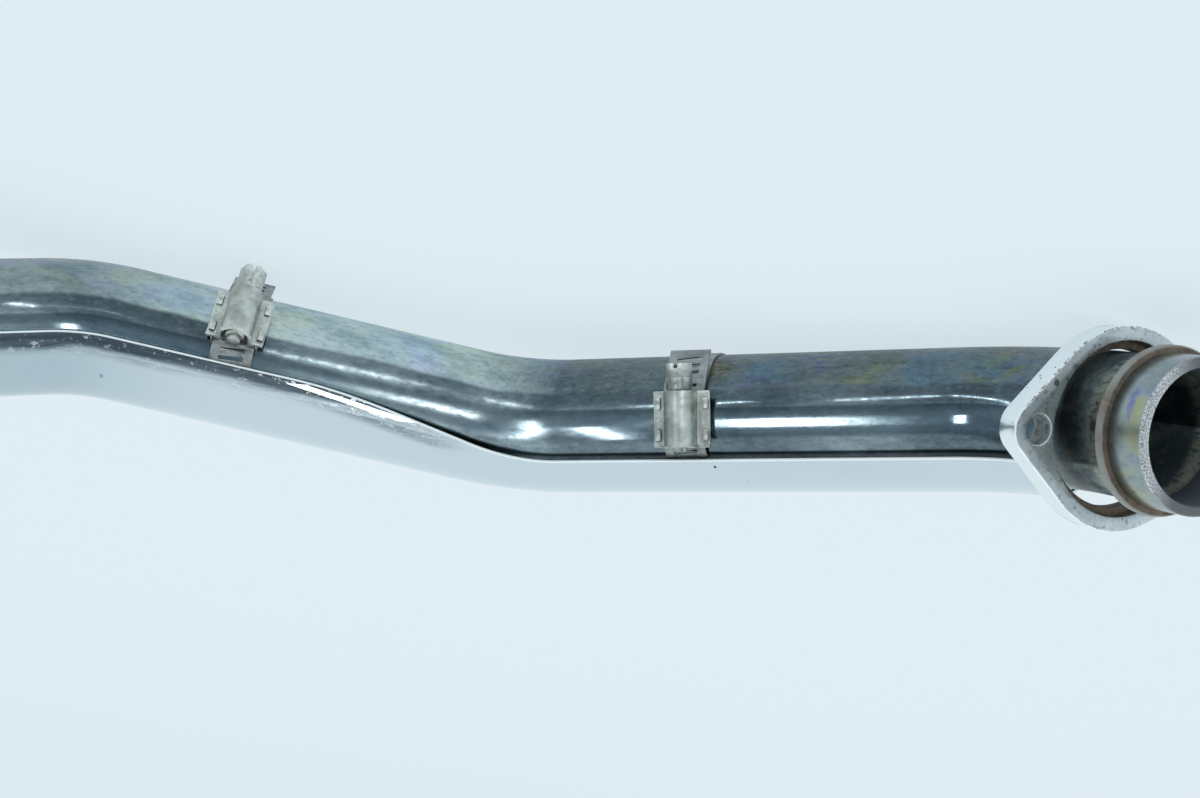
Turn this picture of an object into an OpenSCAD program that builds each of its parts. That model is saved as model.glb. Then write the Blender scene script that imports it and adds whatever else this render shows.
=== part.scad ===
// Motorcycle exhaust header: a bent steel pipe with a loose two-bolt port flange
// and a bright heat shield held on by two worm-drive clamps.
// The pipe lies on a table as it comes to rest, with Z up. X runs from the port
// towards the outlet. Angles about the pipe start at its back (+Y) and go over the top.

/* [Pipe] */
// Outside diameter of the pipe
pipe_od = 44.45; // [40:0.05:50]
// Wall of the pipe
pipe_wall = 1.65; // [1.2:0.05:2.5]
// Centreline radius of every bend
bend_r = 76.2; // [65:0.1:110]
// Straight run behind the port
port_run = 33; // [31:0.5:40]
// Straight run between the port bend and the middle bend
long_run = 134.7; // [110:0.1:170]
// Straight run between the middle bend and the outlet bend
short_run = 122.9; // [100:0.1:150]
// Straight run from the outlet bend to the plain outlet end
outlet_run = 155; // [120:1:200]
// Turn of the port bend
port_bend = 44.9; // [30:0.1:60]
// Turn of the middle bend
mid_bend = 30.9; // [15:0.1:45]
// Turn of the outlet bend
outlet_bend = 21.1; // [10:0.1:35]
// Side that the port bend turns to
port_bend_side = 141.9; // [90:0.1:180]
// Side that the outlet bend turns to
outlet_bend_side = 107; // [80:0.1:150]

/* [Port end] */
// Outside diameter of the port spigot
spigot_od = 46.8; // [45.5:0.1:50]
// Bore of the port spigot
spigot_bore = 40.4; // [36:0.1:41]
// Length of the port spigot
spigot_len = 17; // [15:0.5:22]
// Outside diameter of the retaining ring
ring_od = 51.4; // [49:0.1:53]
// Thickness of the retaining ring
ring_t = 3.2; // [2:0.1:5]
// Depth of the seat that is turned for the ring
ring_seat = 0.7; // [0.3:0.05:1]
// Length of the flare behind the ring
flare_len = 6; // [4:0.5:10]

/* [Flange] */
// Clearance between the ring and the counterbore, all round
counterbore_gap = 1.4; // [1.2:0.1:2.5]
// Depth of the counterbore
counterbore_depth = 4; // [2.5:0.1:5]
// Metal of the flange outside the counterbore
flange_rim = 4.6; // [3:0.1:8]
// Clearance between the spigot and the hole behind the counterbore, all round
flange_hole_gap = 1; // [0.7:0.05:1.2]
// Diameter of the bolt holes
bolt_hole = 9.2; // [6:0.1:9.6]
// Metal between the counterbore and a bolt hole
bolt_wall = 1.3; // [1:0.1:5]
// Metal round the outside of a bolt hole
bolt_rim = 4; // [2:0.1:8]
// Thickness of the flange
flange_t = 8; // [6:0.1:12]
// Distance from the mouth back to the front face of the flange
flange_back = 31.8; // [25:0.1:34]
// Drop of the loose flange about the pipe
flange_drop = 1.65; // [0:0.05:1.8]
// Side that the flange drops to
flange_drop_side = 75; // [0:1:359]
// Turn of the loose flange about the pipe
flange_turn = -30; // [-90:1:90]

/* [Heat shield] */
// Outside radius of the shield
shield_r = 25.4; // [25:0.1:28]
// Thickness of the shield sheet
shield_t = 1; // [0.7:0.05:1.4]
// Angle of the shield's back edge
shield_back = -28; // [-60:1:0]
// Angle of its viewer's edge along the long run
shield_front = 119; // [95:1:140]
// Angle of its viewer's edge along the short run
shield_front_wide = 147; // [120:1:170]
// Length of the short run that the edge takes to widen
edge_blend = 60; // [20:1:90]
// Turn of the port bend that the shield covers
shield_port_turn = 28; // [10:1:32]
// Bare pipe between the shield and the outlet end
shield_outlet_gap = 50; // [10:1:60]
// Thickness of the clip sheet under the shield
clip_t = 0.7; // [0.5:0.05:0.8]
// Width of each foot of a clip
clip_foot = 5; // [3:0.5:8]

/* [Clamps] */
// Width of the clamp bands
band_w = 14.3; // [12:0.1:16]
// Thickness of the clamp bands
band_t = 0.65; // [0.5:0.05:0.7]
// Place of the first clamp along the long run, from the port bend
clamp_1_at = 87; // [50:0.5:110]
// Angle of the first clamp's housing
clamp_1_angle = 152; // [140:1:170]
// Place of the second clamp along the short run, from the middle bend
clamp_2_at = 83; // [50:0.5:100]
// Angle of the second clamp's housing
clamp_2_angle = 185; // [175:1:200]
// Length of the housing
housing_len = 19; // [17:0.1:22]
// Sheet of the housing and of the saddle
housing_t = 0.7; // [0.5:0.05:0.9]
// Outside radius of the worm's thread
worm_r = 3.4; // [3:0.05:3.8]
// Pitch of the thread and of the slots
slot_pitch = 2.8; // [2.5:0.05:3.2]
// Length of each slot across the band
slot_len = 8.4; // [7:0.1:10]
// Width of each slot
slot_w = 1.3; // [1.1:0.05:1.5]
// Lean of the slots and of the thread
thread_lean = 6; // [3:0.5:8]
// Width across the flats of the screw head
hex_af = 7.94; // [7:0.01:10]
// Length of the hexagon
hex_len = 4.7; // [3:0.1:6]
// Length of the collar under the hexagon
collar_len = 4.2; // [2:0.1:5]
// Straight free end of the band
tail_len = 12; // [6:0.5:16]

/* [Hidden] */
$fn = 96;

pipe_r = pipe_od / 2;
// Clearance between pieces that lie against each other
fit = 0.05;
// Overlap that keeps two solids of one piece, or a cut, from meeting in a bare face
bite = 0.5;
// Length by which a straight run laps into the bend beside it
lap = 2;
// Extra thickness of a bend, each way
bend_swell = 0.05;

// Frames along the pipe. +Z of a frame points towards the outlet, and its X and Y
// are carried along without twist, so one angle means the same side all the way.
function move(v) = [[1, 0, 0, v[0]], [0, 1, 0, v[1]], [0, 0, 1, v[2]], [0, 0, 0, 1]];
function turn_y(a) = [[cos(a), 0, sin(a), 0], [0, 1, 0, 0], [-sin(a), 0, cos(a), 0], [0, 0, 0, 1]];
function turn_z(a) = [[cos(a), -sin(a), 0, 0], [sin(a), cos(a), 0, 0], [0, 0, 1, 0], [0, 0, 0, 1]];
function round_bend(a, side) =
    turn_z(side) * move([bend_r, 0, 0]) * turn_y(a) * move([-bend_r, 0, 0]) * turn_z(-side);
function point(m, v) = [for (i = [0:2]) m[i][0] * v[0] + m[i][1] * v[1] + m[i][2] * v[2] + m[i][3]];

// Side that the middle bend turns to: the viewer's
mid_bend_side = 180;
long_start = [[0, 0, 1, 0], [1, 0, 0, 0], [0, 1, 0, 0], [0, 0, 0, 1]];
port_bend_start = long_start * round_bend(-port_bend, port_bend_side);
mouth = port_bend_start * move([0, 0, -port_run]);
mid_bend_start = long_start * move([0, 0, long_run]);
short_start = mid_bend_start * round_bend(mid_bend, mid_bend_side);
outlet_bend_start = short_start * move([0, 0, short_run]);
outlet_start = outlet_bend_start * round_bend(outlet_bend, outlet_bend_side);
clamp_1 = long_start * move([0, 0, clamp_1_at]);
clamp_2 = short_start * move([0, 0, clamp_2_at]);

// The way the header lies: on the flange's edge, the pipe and the second clamp's free end.
// The shift puts the middle of its footprint at the origin, with the table at zero.
lie_tip = 8.72;
lie_tilt = -2.83;
lie_shift = [-168.56, 88.21, 22.46];

// Heights from the pipe's axis at a clamp, from the pipe outwards
saddle_r = pipe_r + fit;
band_r = saddle_r + housing_t + fit;
upper_r = band_r + band_t + fit;
// How far the thread reaches into the slots
thread_mesh = 0.5;
screw_r = upper_r + band_t + worm_r - thread_mesh;
shield_in = shield_r - shield_t;

// Sizes of the flange that follow from the ring, the spigot and the bolts
counterbore_d = ring_od + 2 * counterbore_gap;
flange_w = counterbore_d + 2 * flange_rim;
flange_hole = spigot_od + 2 * flange_hole_gap;
bolt_pitch = counterbore_d + bolt_hole + 2 * bolt_wall;
bolt_end_r = bolt_hole / 2 + bolt_rim;

module lie() {
    translate(lie_shift) rotate([lie_tip, lie_tilt, 0]) children();
}

// A stretch of one section along a straight run, lapped a little into its neighbours
module straight(l, lap_0 = lap, lap_1 = lap) {
    translate([0, 0, -lap_0]) linear_extrude(l + lap_0 + lap_1) children();
}

// A stretch of one section round a bend of angle a towards one side
module bent(a, side) {
    rotate([0, 0, side]) translate([bend_r, 0, 0]) rotate([90, 0, 180]) rotate_extrude(angle = a)
        translate([bend_r, 0]) mirror([1, 0]) rotate(-side) children();
}

// A wedge between two angles that reaches well past every profile
module wedge(a0, a1, r = 60) {
    n = ceil((a1 - a0) / 45);
    polygon(concat([[0, 0]], [for (i = [0:n]) let (a = a0 + (a1 - a0) * i / n) [r * cos(a), r * sin(a)]]));
}

// Section of the pipe. A bend is a hair fuller than the runs, so the two join cleanly.
module pipe_section(swell = 0) {
    difference() {
        circle(pipe_r + swell);
        circle(pipe_r - pipe_wall - swell);
    }
}

// The bent stretch of the pipe. The pipe is one tube, drawn as three solids that meet face
// to face, so that collision leaves the gas passage open at both ends.
module header_pipe() {
    color([0.30, 0.33, 0.38]) lie() {
        multmatrix(port_bend_start) bent(port_bend, port_bend_side) pipe_section(bend_swell);
        multmatrix(long_start) straight(long_run) pipe_section();
        multmatrix(mid_bend_start) bent(mid_bend, mid_bend_side) pipe_section(bend_swell);
        multmatrix(short_start) straight(short_run) pipe_section();
        multmatrix(outlet_bend_start) bent(outlet_bend, outlet_bend_side) pipe_section(bend_swell);
    }
}

// The straight port end of the pipe, with its flare
module header_pipe_port() {
    color([0.30, 0.33, 0.38]) lie() multmatrix(mouth) translate([0, 0, spigot_len]) {
        straight(port_run - spigot_len, 0, 0) pipe_section();
        rotate_extrude() polygon([
            [pipe_r - pipe_wall / 2, 0], [spigot_od / 2, 0], [pipe_r + bend_swell, flare_len],
            [pipe_r - pipe_wall / 2, flare_len]]);
    }
}

// The straight outlet end of the pipe
module header_pipe_outlet() {
    color([0.30, 0.33, 0.38]) lie() multmatrix(outlet_start) straight(outlet_run, 0, 0) pipe_section();
}

module port_spigot() {
    r = spigot_od / 2;
    bore = spigot_bore / 2;
    bevel = 0.8;
    color([0.66, 0.68, 0.70]) lie() multmatrix(mouth) rotate_extrude() polygon([
        [bore + bevel / 2, 0], [r - bevel, 0], [r, bevel], [r, spigot_len - ring_t - fit],
        [r - ring_seat, spigot_len - ring_t - fit], [r - ring_seat, spigot_len],
        [bore, spigot_len], [bore, bevel / 2]]);
}

module retaining_ring() {
    inner = spigot_od / 2 - ring_seat + fit;
    outer = ring_od / 2;
    edge = 0.6;
    color([0.42, 0.33, 0.27]) lie() multmatrix(mouth) translate([0, 0, spigot_len - ring_t])
        rotate_extrude() polygon([
            [inner, 0], [outer - edge, 0], [outer, edge], [outer, ring_t - edge],
            [outer - edge, ring_t - fit], [inner, ring_t - fit]]);
}

// Points of an arc round a centre at x
function arc(x, r, a0, a1, step) = let (n = ceil(abs(a1 - a0) / step))
    [for (i = [0:n]) let (a = a0 + (a1 - a0) * i / n) [x + r * cos(a), r * sin(a)]];

// Outline of the flange: a round belly and two bolt ends, joined by tangent sides
module flange_outline() {
    belly_r = flange_w / 2;
    half = bolt_pitch / 2;
    a = acos((belly_r - bolt_end_r) / half);
    polygon(concat(
        arc(half, bolt_end_r, -a, a, 6), arc(0, belly_r, a, 180 - a, 3),
        arc(-half, bolt_end_r, 180 - a, 180 + a, 6), arc(0, belly_r, 180 + a, 360 - a, 3)));
}

module port_flange() {
    drop = [flange_drop * cos(flange_drop_side), flange_drop * sin(flange_drop_side), flange_back];
    color([0.72, 0.74, 0.76]) lie() multmatrix(mouth) translate(drop) rotate([0, 0, flange_turn])
        difference() {
            linear_extrude(flange_t) flange_outline();
            translate([0, 0, -1]) cylinder(h = flange_t + 2, d = flange_hole);
            translate([0, 0, -1]) cylinder(h = counterbore_depth + 1, d = counterbore_d);
            for (s = [-1, 1])
                translate([s * bolt_pitch / 2, 0, -1]) cylinder(h = flange_t + 2, d = bolt_hole);
        }
}

// Section of the shield between two angles
module shield_section(a0, a1, swell = 0) {
    swell_a = swell / shield_r * 180 / PI;
    intersection() {
        difference() {
            circle(shield_r + swell);
            circle(shield_in - swell);
        }
        wedge(a0 - swell_a, a1 + swell_a);
    }
}

// The shield's viewer's edge past the long run: it widens from one angle to the other
// over the middle bend and the first part of the short run
mid_bend_len = bend_r * mid_bend * PI / 180;
blend_len = mid_bend_len + edge_blend;
function blend(k) = k * k * (3 - 2 * k);
function edge_frame(d) = d < mid_bend_len
    ? mid_bend_start * round_bend(mid_bend * d / mid_bend_len, mid_bend_side)
    : short_start * move([0, 0, d - mid_bend_len]);
function edge_point(d) = let (
    a = shield_front + (shield_front_wide - shield_front) * blend(min(1, d / blend_len)),
    r = shield_r - shield_t / 2)
    point(edge_frame(d), [r * cos(a), r * sin(a), 0]);

// Directions of the cut: across the sheet's edge on the long run, and along the blade
cut_across = [0, -sin(shield_front), cos(shield_front)];
cut_along = [0, cos(shield_front), sin(shield_front)];

// What is cut from the shield so that its edge sweeps from one angle to the other
module edge_cut() {
    steps = 14;
    run_out = 30;
    far = 70;
    start = long_run - lap;
    last = edge_point(blend_len + run_out);
    path = [for (i = [1:steps]) let (p = edge_point(blend_len * i / steps)) [p[0], p * cut_across]];
    multmatrix([
        [1, 0, 0, 0], [0, cut_across[1], cut_along[1], 0], [0, cut_across[2], cut_along[2], 0], [0, 0, 0, 1]])
        linear_extrude(far) polygon(concat(
            [[start, bend_swell]], [[long_run, bend_swell]], path,
            [[last[0], last * cut_across], [last[0], far], [start, far]]));
}

module heat_shield() {
    color([0.86, 0.88, 0.90]) lie() {
        multmatrix(port_bend_start * round_bend(port_bend - shield_port_turn, port_bend_side))
            bent(shield_port_turn, port_bend_side) shield_section(shield_back, shield_front, bend_swell);
        multmatrix(long_start) straight(long_run) shield_section(shield_back, shield_front);
        difference() {
            union() {
                multmatrix(mid_bend_start) bent(mid_bend, mid_bend_side)
                    shield_section(shield_back, shield_front_wide, bend_swell);
                multmatrix(short_start) straight(short_run)
                    shield_section(shield_back, shield_front_wide);
            }
            edge_cut();
        }
        multmatrix(outlet_bend_start) bent(outlet_bend, outlet_bend_side)
            shield_section(shield_back, shield_front_wide, bend_swell);
        multmatrix(outlet_start) straight(outlet_run - shield_outlet_gap, lap, 0)
            shield_section(shield_back, shield_front_wide);
    }
}

// A clip inside the shield: two feet on the shield and a bridge that the band runs over
clip_room = 0.6;
module clip(a0, a1) {
    half = band_w / 2 + clip_room;
    foot = shield_in - fit;
    bridge = saddle_r;
    rotate([0, 0, a0]) rotate_extrude(angle = a1 - a0) polygon([
        [foot - clip_t, -half - clip_foot], [foot, -half - clip_foot], [foot, -half],
        [bridge + clip_t, -half], [bridge + clip_t, half], [foot, half], [foot, half + clip_foot],
        [foot - clip_t, half + clip_foot], [foot - clip_t, half + clip_t],
        [bridge, half + clip_t], [bridge, -half - clip_t], [foot - clip_t, -half - clip_t]]);
}

// Angle between each end of a clip and the shield's edge
clip_margin = 12;
clip_1_span = [shield_back + clip_margin, shield_front - clip_margin];
clip_2_span = [shield_back + clip_margin, shield_front_wide - clip_margin];

module clip_1() {
    color([0.55, 0.56, 0.57]) lie() multmatrix(clamp_1) clip(clip_1_span[0], clip_1_span[1]);
}

module clip_2() {
    color([0.55, 0.56, 0.57]) lie() multmatrix(clamp_2) clip(clip_2_span[0], clip_2_span[1]);
}

// The band's path, as its inner radius at each angle from the middle of the housing.
// It starts under the worm, goes once round the pipe and the clip, and ends in a free tail.
saddle_half = asin(housing_len / 2 / band_r);
fixed_start = -16;
// Angle over which the band's outer lap stays round before its straight free end
tail_bend = 33;
// Angle over which the band steps up or down by one sheet
step_turn = 16;
function ramp(a, a0, a1, r0, r1) = r0 + (r1 - r0) * blend(min(1, max(0, (a - a0) / (a1 - a0))));
function band_path(a, clip_lo, clip_hi) =
    a < saddle_half ? band_r
    : a < clip_lo - step_turn ? ramp(a, saddle_half, saddle_half + step_turn, band_r, saddle_r)
    : a < clip_hi ? ramp(a, clip_lo - step_turn, clip_lo, saddle_r, band_r)
    : a < 360 + tail_bend ? ramp(a, 360 - saddle_half - step_turn / 2, 360 - saddle_half, band_r, upper_r)
    : upper_r / cos(a - 360 - tail_bend);

// The band's section, one strip that overlaps itself under the worm
module band_section(clip_lo, clip_hi) {
    step = 3;
    tail_a = atan(tail_len / upper_r);
    last = 360 + tail_bend + tail_a;
    angles = concat([for (a = [fixed_start:step:last - step / 2]) a], [last]);
    polygon(concat(
        [for (a = angles) let (r = band_path(a, clip_lo, clip_hi)) [r * cos(a), r * sin(a)]],
        [for (i = [len(angles) - 1:-1:0]) let (
            a = angles[i],
            r = band_path(a, clip_lo, clip_hi) + band_t / cos(max(0, a - 360 - tail_bend)))
            [r * cos(a), r * sin(a)]]));
}

// One slot, standing on the inner face of the band
module slot(depth) {
    rotate([thread_lean, 0, 0]) translate([0, -slot_w / 2, -slot_len / 2]) cube([depth, slot_w, slot_len]);
}

module band(clip_span, angle) {
    clip_lo = 360 + clip_span[0] - angle;
    clip_hi = 360 + clip_span[1] - angle;
    pitch_a = slot_pitch / upper_r * 180 / PI;
    slots_before = 11;
    slots_after = floor(tail_bend / pitch_a);
    tail_slots = floor((tail_len - 3) / slot_pitch);
    rotate([0, 0, angle]) difference() {
        translate([0, 0, -band_w / 2]) linear_extrude(band_w) band_section(clip_lo, clip_hi);
        for (i = [-slots_before:slots_after]) let (a = i * pitch_a, r = band_path(360 + a, clip_lo, clip_hi))
            rotate([0, 0, a]) translate([r - fit / 2, 0, 0]) slot(band_t + bite);
        for (i = [1:tail_slots]) rotate([0, 0, tail_bend])
            translate([upper_r - fit / 2, i * slot_pitch, 0]) slot(band_t + bite);
    }
}

module band_1() {
    color([0.62, 0.62, 0.58]) lie() multmatrix(clamp_1) band(clip_1_span, clamp_1_angle);
}

module band_2() {
    color([0.62, 0.62, 0.58]) lie() multmatrix(clamp_2) band(clip_2_span, clamp_2_angle);
}

// Heights of the housing: its feet lie on the band, and the saddle's tabs fold over the feet
foot_r = upper_r + band_t + fit;
tab_r = foot_r + housing_t + fit;
// Distance of the saddle's cheeks from the band's edge
cheek_gap = 0.2;
cheek = band_w / 2 + cheek_gap;
// Half of the housing's width over its feet
foot_half = cheek + housing_t + 1.8;
// The saddle's tabs: their length, their place along the housing and their reach outwards
tab_l = 3.8;
tab_at = 5.3;
tab_reach = 2;

// The saddle: a curved sheet on the pipe, with two cheeks and four tabs folded over the housing
module saddle(angle) {
    half = housing_len / 2;
    low = saddle_r * cos(saddle_half);
    rotate([0, 0, angle]) {
        rotate([0, 0, -saddle_half]) rotate_extrude(angle = 2 * saddle_half)
            translate([saddle_r, -cheek - housing_t]) square([housing_t, 2 * (cheek + housing_t)]);
        for (s = [-1, 1]) {
            translate([0, 0, s * (cheek + housing_t / 2) - housing_t / 2]) linear_extrude(housing_t)
                difference() {
                    translate([low, -half]) square([foot_r - fit - low, 2 * half]);
                    circle(saddle_r);
                }
            for (t = [-tab_at, tab_at])
                translate([foot_r, t - tab_l / 2, s * (cheek + housing_t / 2) - housing_t / 2]) {
                    translate([-bite, 0, 0]) cube([housing_t * 2 + fit + bite, tab_l, housing_t]);
                    translate([housing_t + fit, 0, s > 0 ? 0 : housing_t - tab_reach])
                        cube([housing_t, tab_l, tab_reach]);
                }
        }
    }
}

module saddle_1() {
    color([0.55, 0.54, 0.50]) lie() multmatrix(clamp_1) saddle(clamp_1_angle);
}

module saddle_2() {
    color([0.55, 0.54, 0.50]) lie() multmatrix(clamp_2) saddle(clamp_2_angle);
}

// The housing: an arch over the worm with a foot on each side, slotted for the saddle's tabs,
// and a lip turned out at the end where the worm's tip shows
module housing(angle) {
    arch_in = worm_r + 1.2;
    arch_out = arch_in + housing_t;
    lip = 0.9;
    half = housing_len / 2;
    rotate([0, 0, angle]) difference() {
        union() {
            translate([0, half, 0]) rotate([90, 0, 0]) linear_extrude(housing_len) {
                translate([screw_r, 0]) circle(arch_out);
                translate([foot_r, -arch_out]) square([screw_r - foot_r, 2 * arch_out]);
                translate([foot_r, -foot_half]) square([housing_t, 2 * foot_half]);
            }
            translate([0, -half + housing_t, 0]) rotate([90, 0, 0]) linear_extrude(housing_t) {
                translate([screw_r, 0]) circle(arch_out + lip);
                translate([foot_r, -arch_out - lip]) square([screw_r - foot_r, 2 * (arch_out + lip)]);
                translate([foot_r, -foot_half]) square([housing_t + lip, 2 * foot_half]);
            }
        }
        translate([0, half + 1, 0]) rotate([90, 0, 0]) linear_extrude(housing_len + 2) {
            translate([screw_r, 0]) circle(arch_in);
            translate([foot_r - bite, -arch_in]) square([screw_r - foot_r + bite, 2 * arch_in]);
            translate([0, -arch_out - lip]) square([foot_r, 2 * (arch_out + lip)]);
        }
        for (s = [-1, 1], t = [-tab_at, tab_at])
            translate([foot_r - bite, t - tab_l / 2 - fit, s * (cheek + housing_t / 2) - housing_t / 2 - fit])
                cube([housing_t + 2 * bite, tab_l + 2 * fit, housing_t + 2 * fit]);
    }
}

module housing_1() {
    color([0.60, 0.58, 0.54]) lie() multmatrix(clamp_1) housing(clamp_1_angle);
}

module housing_2() {
    color([0.60, 0.58, 0.54]) lie() multmatrix(clamp_2) housing(clamp_2_angle);
}

// The worm screw: a thread that meshes with the slots, a collar and a slotted hexagon head
module worm_screw(angle) {
    thread_depth = 1.1;
    core_r = worm_r - thread_depth;
    root_half = 0.75;
    crest_half = 0.25;
    collar_r = hex_af / 2 + 0.45;
    tip = 1.2;
    turns = floor((housing_len - 2) / slot_pitch / 2);
    drive_w = 1.2;
    drive_depth = 1.6;
    hex_at = housing_len / 2 + 4 * fit + collar_len;
    rotate([0, 0, angle]) translate([screw_r, 0, 0]) rotate([-90, 0, 0]) difference() {
        union() {
            translate([0, 0, -housing_len / 2 - tip]) cylinder(h = housing_len + tip + 1, r = core_r);
            for (i = [-turns:turns]) translate([0, 0, i * slot_pitch]) rotate([thread_lean, 0, 0])
                rotate_extrude() polygon([
                    [core_r - bite, -root_half], [worm_r - fit, -crest_half],
                    [worm_r - fit, crest_half], [core_r - bite, root_half]]);
            translate([0, 0, hex_at - collar_len]) cylinder(h = collar_len, r = collar_r);
            translate([0, 0, hex_at - bite]) rotate([0, 0, 30])
                cylinder(h = hex_len + bite, r = hex_af / 2 / cos(30), $fn = 6);
        }
        translate([-hex_af, -drive_w / 2, hex_at + hex_len - drive_depth])
            cube([2 * hex_af, drive_w, drive_depth + 1]);
    }
}

module worm_screw_1() {
    color([0.64, 0.63, 0.60]) lie() multmatrix(clamp_1) worm_screw(clamp_1_angle);
}

module worm_screw_2() {
    color([0.64, 0.63, 0.60]) lie() multmatrix(clamp_2) worm_screw(clamp_2_angle);
}

header_pipe();
header_pipe_port();
header_pipe_outlet();
port_spigot();
retaining_ring();
port_flange();
heat_shield();
clip_1();
clip_2();
band_1();
band_2();
saddle_1();
saddle_2();
housing_1();
housing_2();
worm_screw_1();
worm_screw_2();
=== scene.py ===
"""Looks of a motorcycle exhaust header: tinted chrome pipe, mirror heat shield, worn flange and clamps.

Every length is in millimetres until it becomes a vertex, and every vertex is in metres in the part's
frame. The lights and the camera are placed in metres too.
"""
import logging
import math
from dataclasses import dataclass, field
from enum import Enum, IntEnum
from typing import Optional, Sequence

import bmesh
import bpy
from mathutils import Matrix, Vector


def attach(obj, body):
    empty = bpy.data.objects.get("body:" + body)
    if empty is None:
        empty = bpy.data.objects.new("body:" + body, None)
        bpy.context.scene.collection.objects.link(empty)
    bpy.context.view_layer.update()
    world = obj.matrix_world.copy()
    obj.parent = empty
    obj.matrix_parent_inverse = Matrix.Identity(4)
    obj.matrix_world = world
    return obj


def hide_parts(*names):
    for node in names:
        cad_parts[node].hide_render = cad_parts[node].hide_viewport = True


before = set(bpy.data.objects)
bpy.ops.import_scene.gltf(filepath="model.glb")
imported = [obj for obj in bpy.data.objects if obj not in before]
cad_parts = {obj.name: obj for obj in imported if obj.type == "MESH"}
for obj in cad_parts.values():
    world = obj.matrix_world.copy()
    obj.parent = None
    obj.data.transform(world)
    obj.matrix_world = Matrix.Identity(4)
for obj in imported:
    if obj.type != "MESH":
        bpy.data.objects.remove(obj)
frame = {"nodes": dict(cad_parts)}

LOG = logging.getLogger("exhaust_header")
MM = 0.001
BENCH = "bench"
BEND_STEP = 1.6
MIX_A, MIX_B, MIX_OUT = 6, 7, 2
PANEL_POWER = 4
Point = tuple[float, float, float]
Color = tuple[float, float, float]
Stop = tuple[float, Color]


class Section(Enum):
    """Whether a swept wall closes on itself round the pipe or stops at two edges."""

    CLOSED = True
    OPEN = False


class Blend(Enum):
    """How one colour is laid over another."""

    COVER = "MIX"
    TINT = "MULTIPLY"


class Body(Enum):
    """The two bodies of the part."""

    HEADER = "header"
    FLANGE = "flange"


def grey(value: float, cool: float = 0.0) -> Color:
    """Returns a grey that leans to blue by the share cool."""
    return (value * (1 - cool), value, value * (1 + cool))


# Route of the pipe

class Stretch(IntEnum):
    """The pipe's runs and bends, in order from the mouth."""

    PORT_RUN = 0
    PORT_BEND = 1
    LONG_RUN = 2
    MID_BEND = 3
    SHORT_RUN = 4
    OUTLET_BEND = 5
    OUTLET_RUN = 6


@dataclass(frozen=True)
class Leg:
    """One stretch of the pipe: a straight run where turn is 0, or else a bend to one side."""

    start: Matrix
    begin: float
    length: float
    turn: float = 0.0
    side: float = 0.0


@dataclass
class PipeRoute:
    """The pipe's centreline, with a frame at every distance from the mouth.

    A frame's Z points to the outlet. Its X and Y are carried along without twist, and angles
    about the pipe start at X.
    """

    bend_r: float = 76.2
    port_run: float = 33.0
    long_run: float = 134.7
    short_run: float = 122.9
    outlet_run: float = 155.0
    port_bend: float = 44.9
    mid_bend: float = 30.9
    outlet_bend: float = 21.1
    port_bend_side: float = 141.9
    mid_bend_side: float = 180.0
    outlet_bend_side: float = 107.0
    lie_tip: float = 8.72
    lie_tilt: float = -2.83
    lie_shift: Point = (-168.56, 88.21, 22.46)
    shortest: float = 1e-3
    rounding: float = 1e-6
    legs: list[Leg] = field(default_factory=list)

    def __post_init__(self) -> None:
        """Chains the runs and bends from the mouth to the outlet."""
        lie = (Matrix.Translation(self.lie_shift)
               @ Matrix.Rotation(math.radians(self.lie_tilt), 4, "Y")
               @ Matrix.Rotation(math.radians(self.lie_tip), 4, "X"))
        long_start = lie @ Matrix(((0, 0, 1, 0), (1, 0, 0, 0), (0, 1, 0, 0), (0, 0, 0, 1)))
        here = (long_start @ self.round_bend(-self.port_bend, self.port_bend_side)
                @ Matrix.Translation((0, 0, -self.port_run)))
        distance = 0.0
        for length, turn, side in (
                (self.port_run, 0, 0), (0, self.port_bend, self.port_bend_side),
                (self.long_run, 0, 0), (0, self.mid_bend, self.mid_bend_side),
                (self.short_run, 0, 0), (0, self.outlet_bend, self.outlet_bend_side),
                (self.outlet_run, 0, 0)):
            length = length or self.bend_r * math.radians(turn)
            self.legs.append(Leg(here, distance, length, turn, side))
            here = self.along(self.legs[-1], length)
            distance += length

    def round_bend(self, angle: float, side: float) -> Matrix:
        """Works out the move along a bend.

        Args:
            angle: How far the bend turns, in degrees.
            side: Where the bend turns to, in degrees about the pipe.

        Returns:
            The move, as seen from the bend's start.
        """
        to_side = Matrix.Rotation(math.radians(side), 4, "Z")
        out = Matrix.Translation((self.bend_r, 0, 0))
        return (to_side @ out @ Matrix.Rotation(math.radians(angle), 4, "Y")
                @ out.inverted() @ to_side.inverted())

    def along(self, leg: Leg, distance: float) -> Matrix:
        """Finds the frame at a place on one leg.

        Args:
            leg: The run or bend.
            distance: The distance from the leg's start.

        Returns:
            The frame.
        """
        if leg.turn == 0:
            return leg.start @ Matrix.Translation((0, 0, distance))
        return leg.start @ self.round_bend(leg.turn * distance / leg.length, leg.side)

    @property
    def length(self) -> float:
        """Length of the whole centreline."""
        return self.legs[-1].begin + self.legs[-1].length

    def at(self, distance: float) -> Matrix:
        """Returns the frame at a distance from the mouth, in millimetres."""
        leg = [leg for leg in self.legs if leg.begin <= distance + self.rounding][-1]
        return self.along(leg, distance - leg.begin)

    def stations(self, start: float, end: float, run_step: float, bend_step: float) -> list[float]:
        """Lists distances from start to end, close together in the bends.

        Args:
            start: First distance from the mouth.
            end: Last distance from the mouth.
            run_step: Largest step on the straight runs.
            bend_step: Largest step in the bends.

        Returns:
            The distances, in order.
        """
        found = [start]
        for leg in self.legs:
            low, high = max(start, leg.begin), min(end, leg.begin + leg.length)
            if high - low < self.shortest:
                continue
            count = math.ceil((high - low) / (bend_step if leg.turn else run_step))
            found += [low + (high - low) * i / count for i in range(1, count + 1)]
        return found


ROUTE = PipeRoute()


# Meshes

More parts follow.
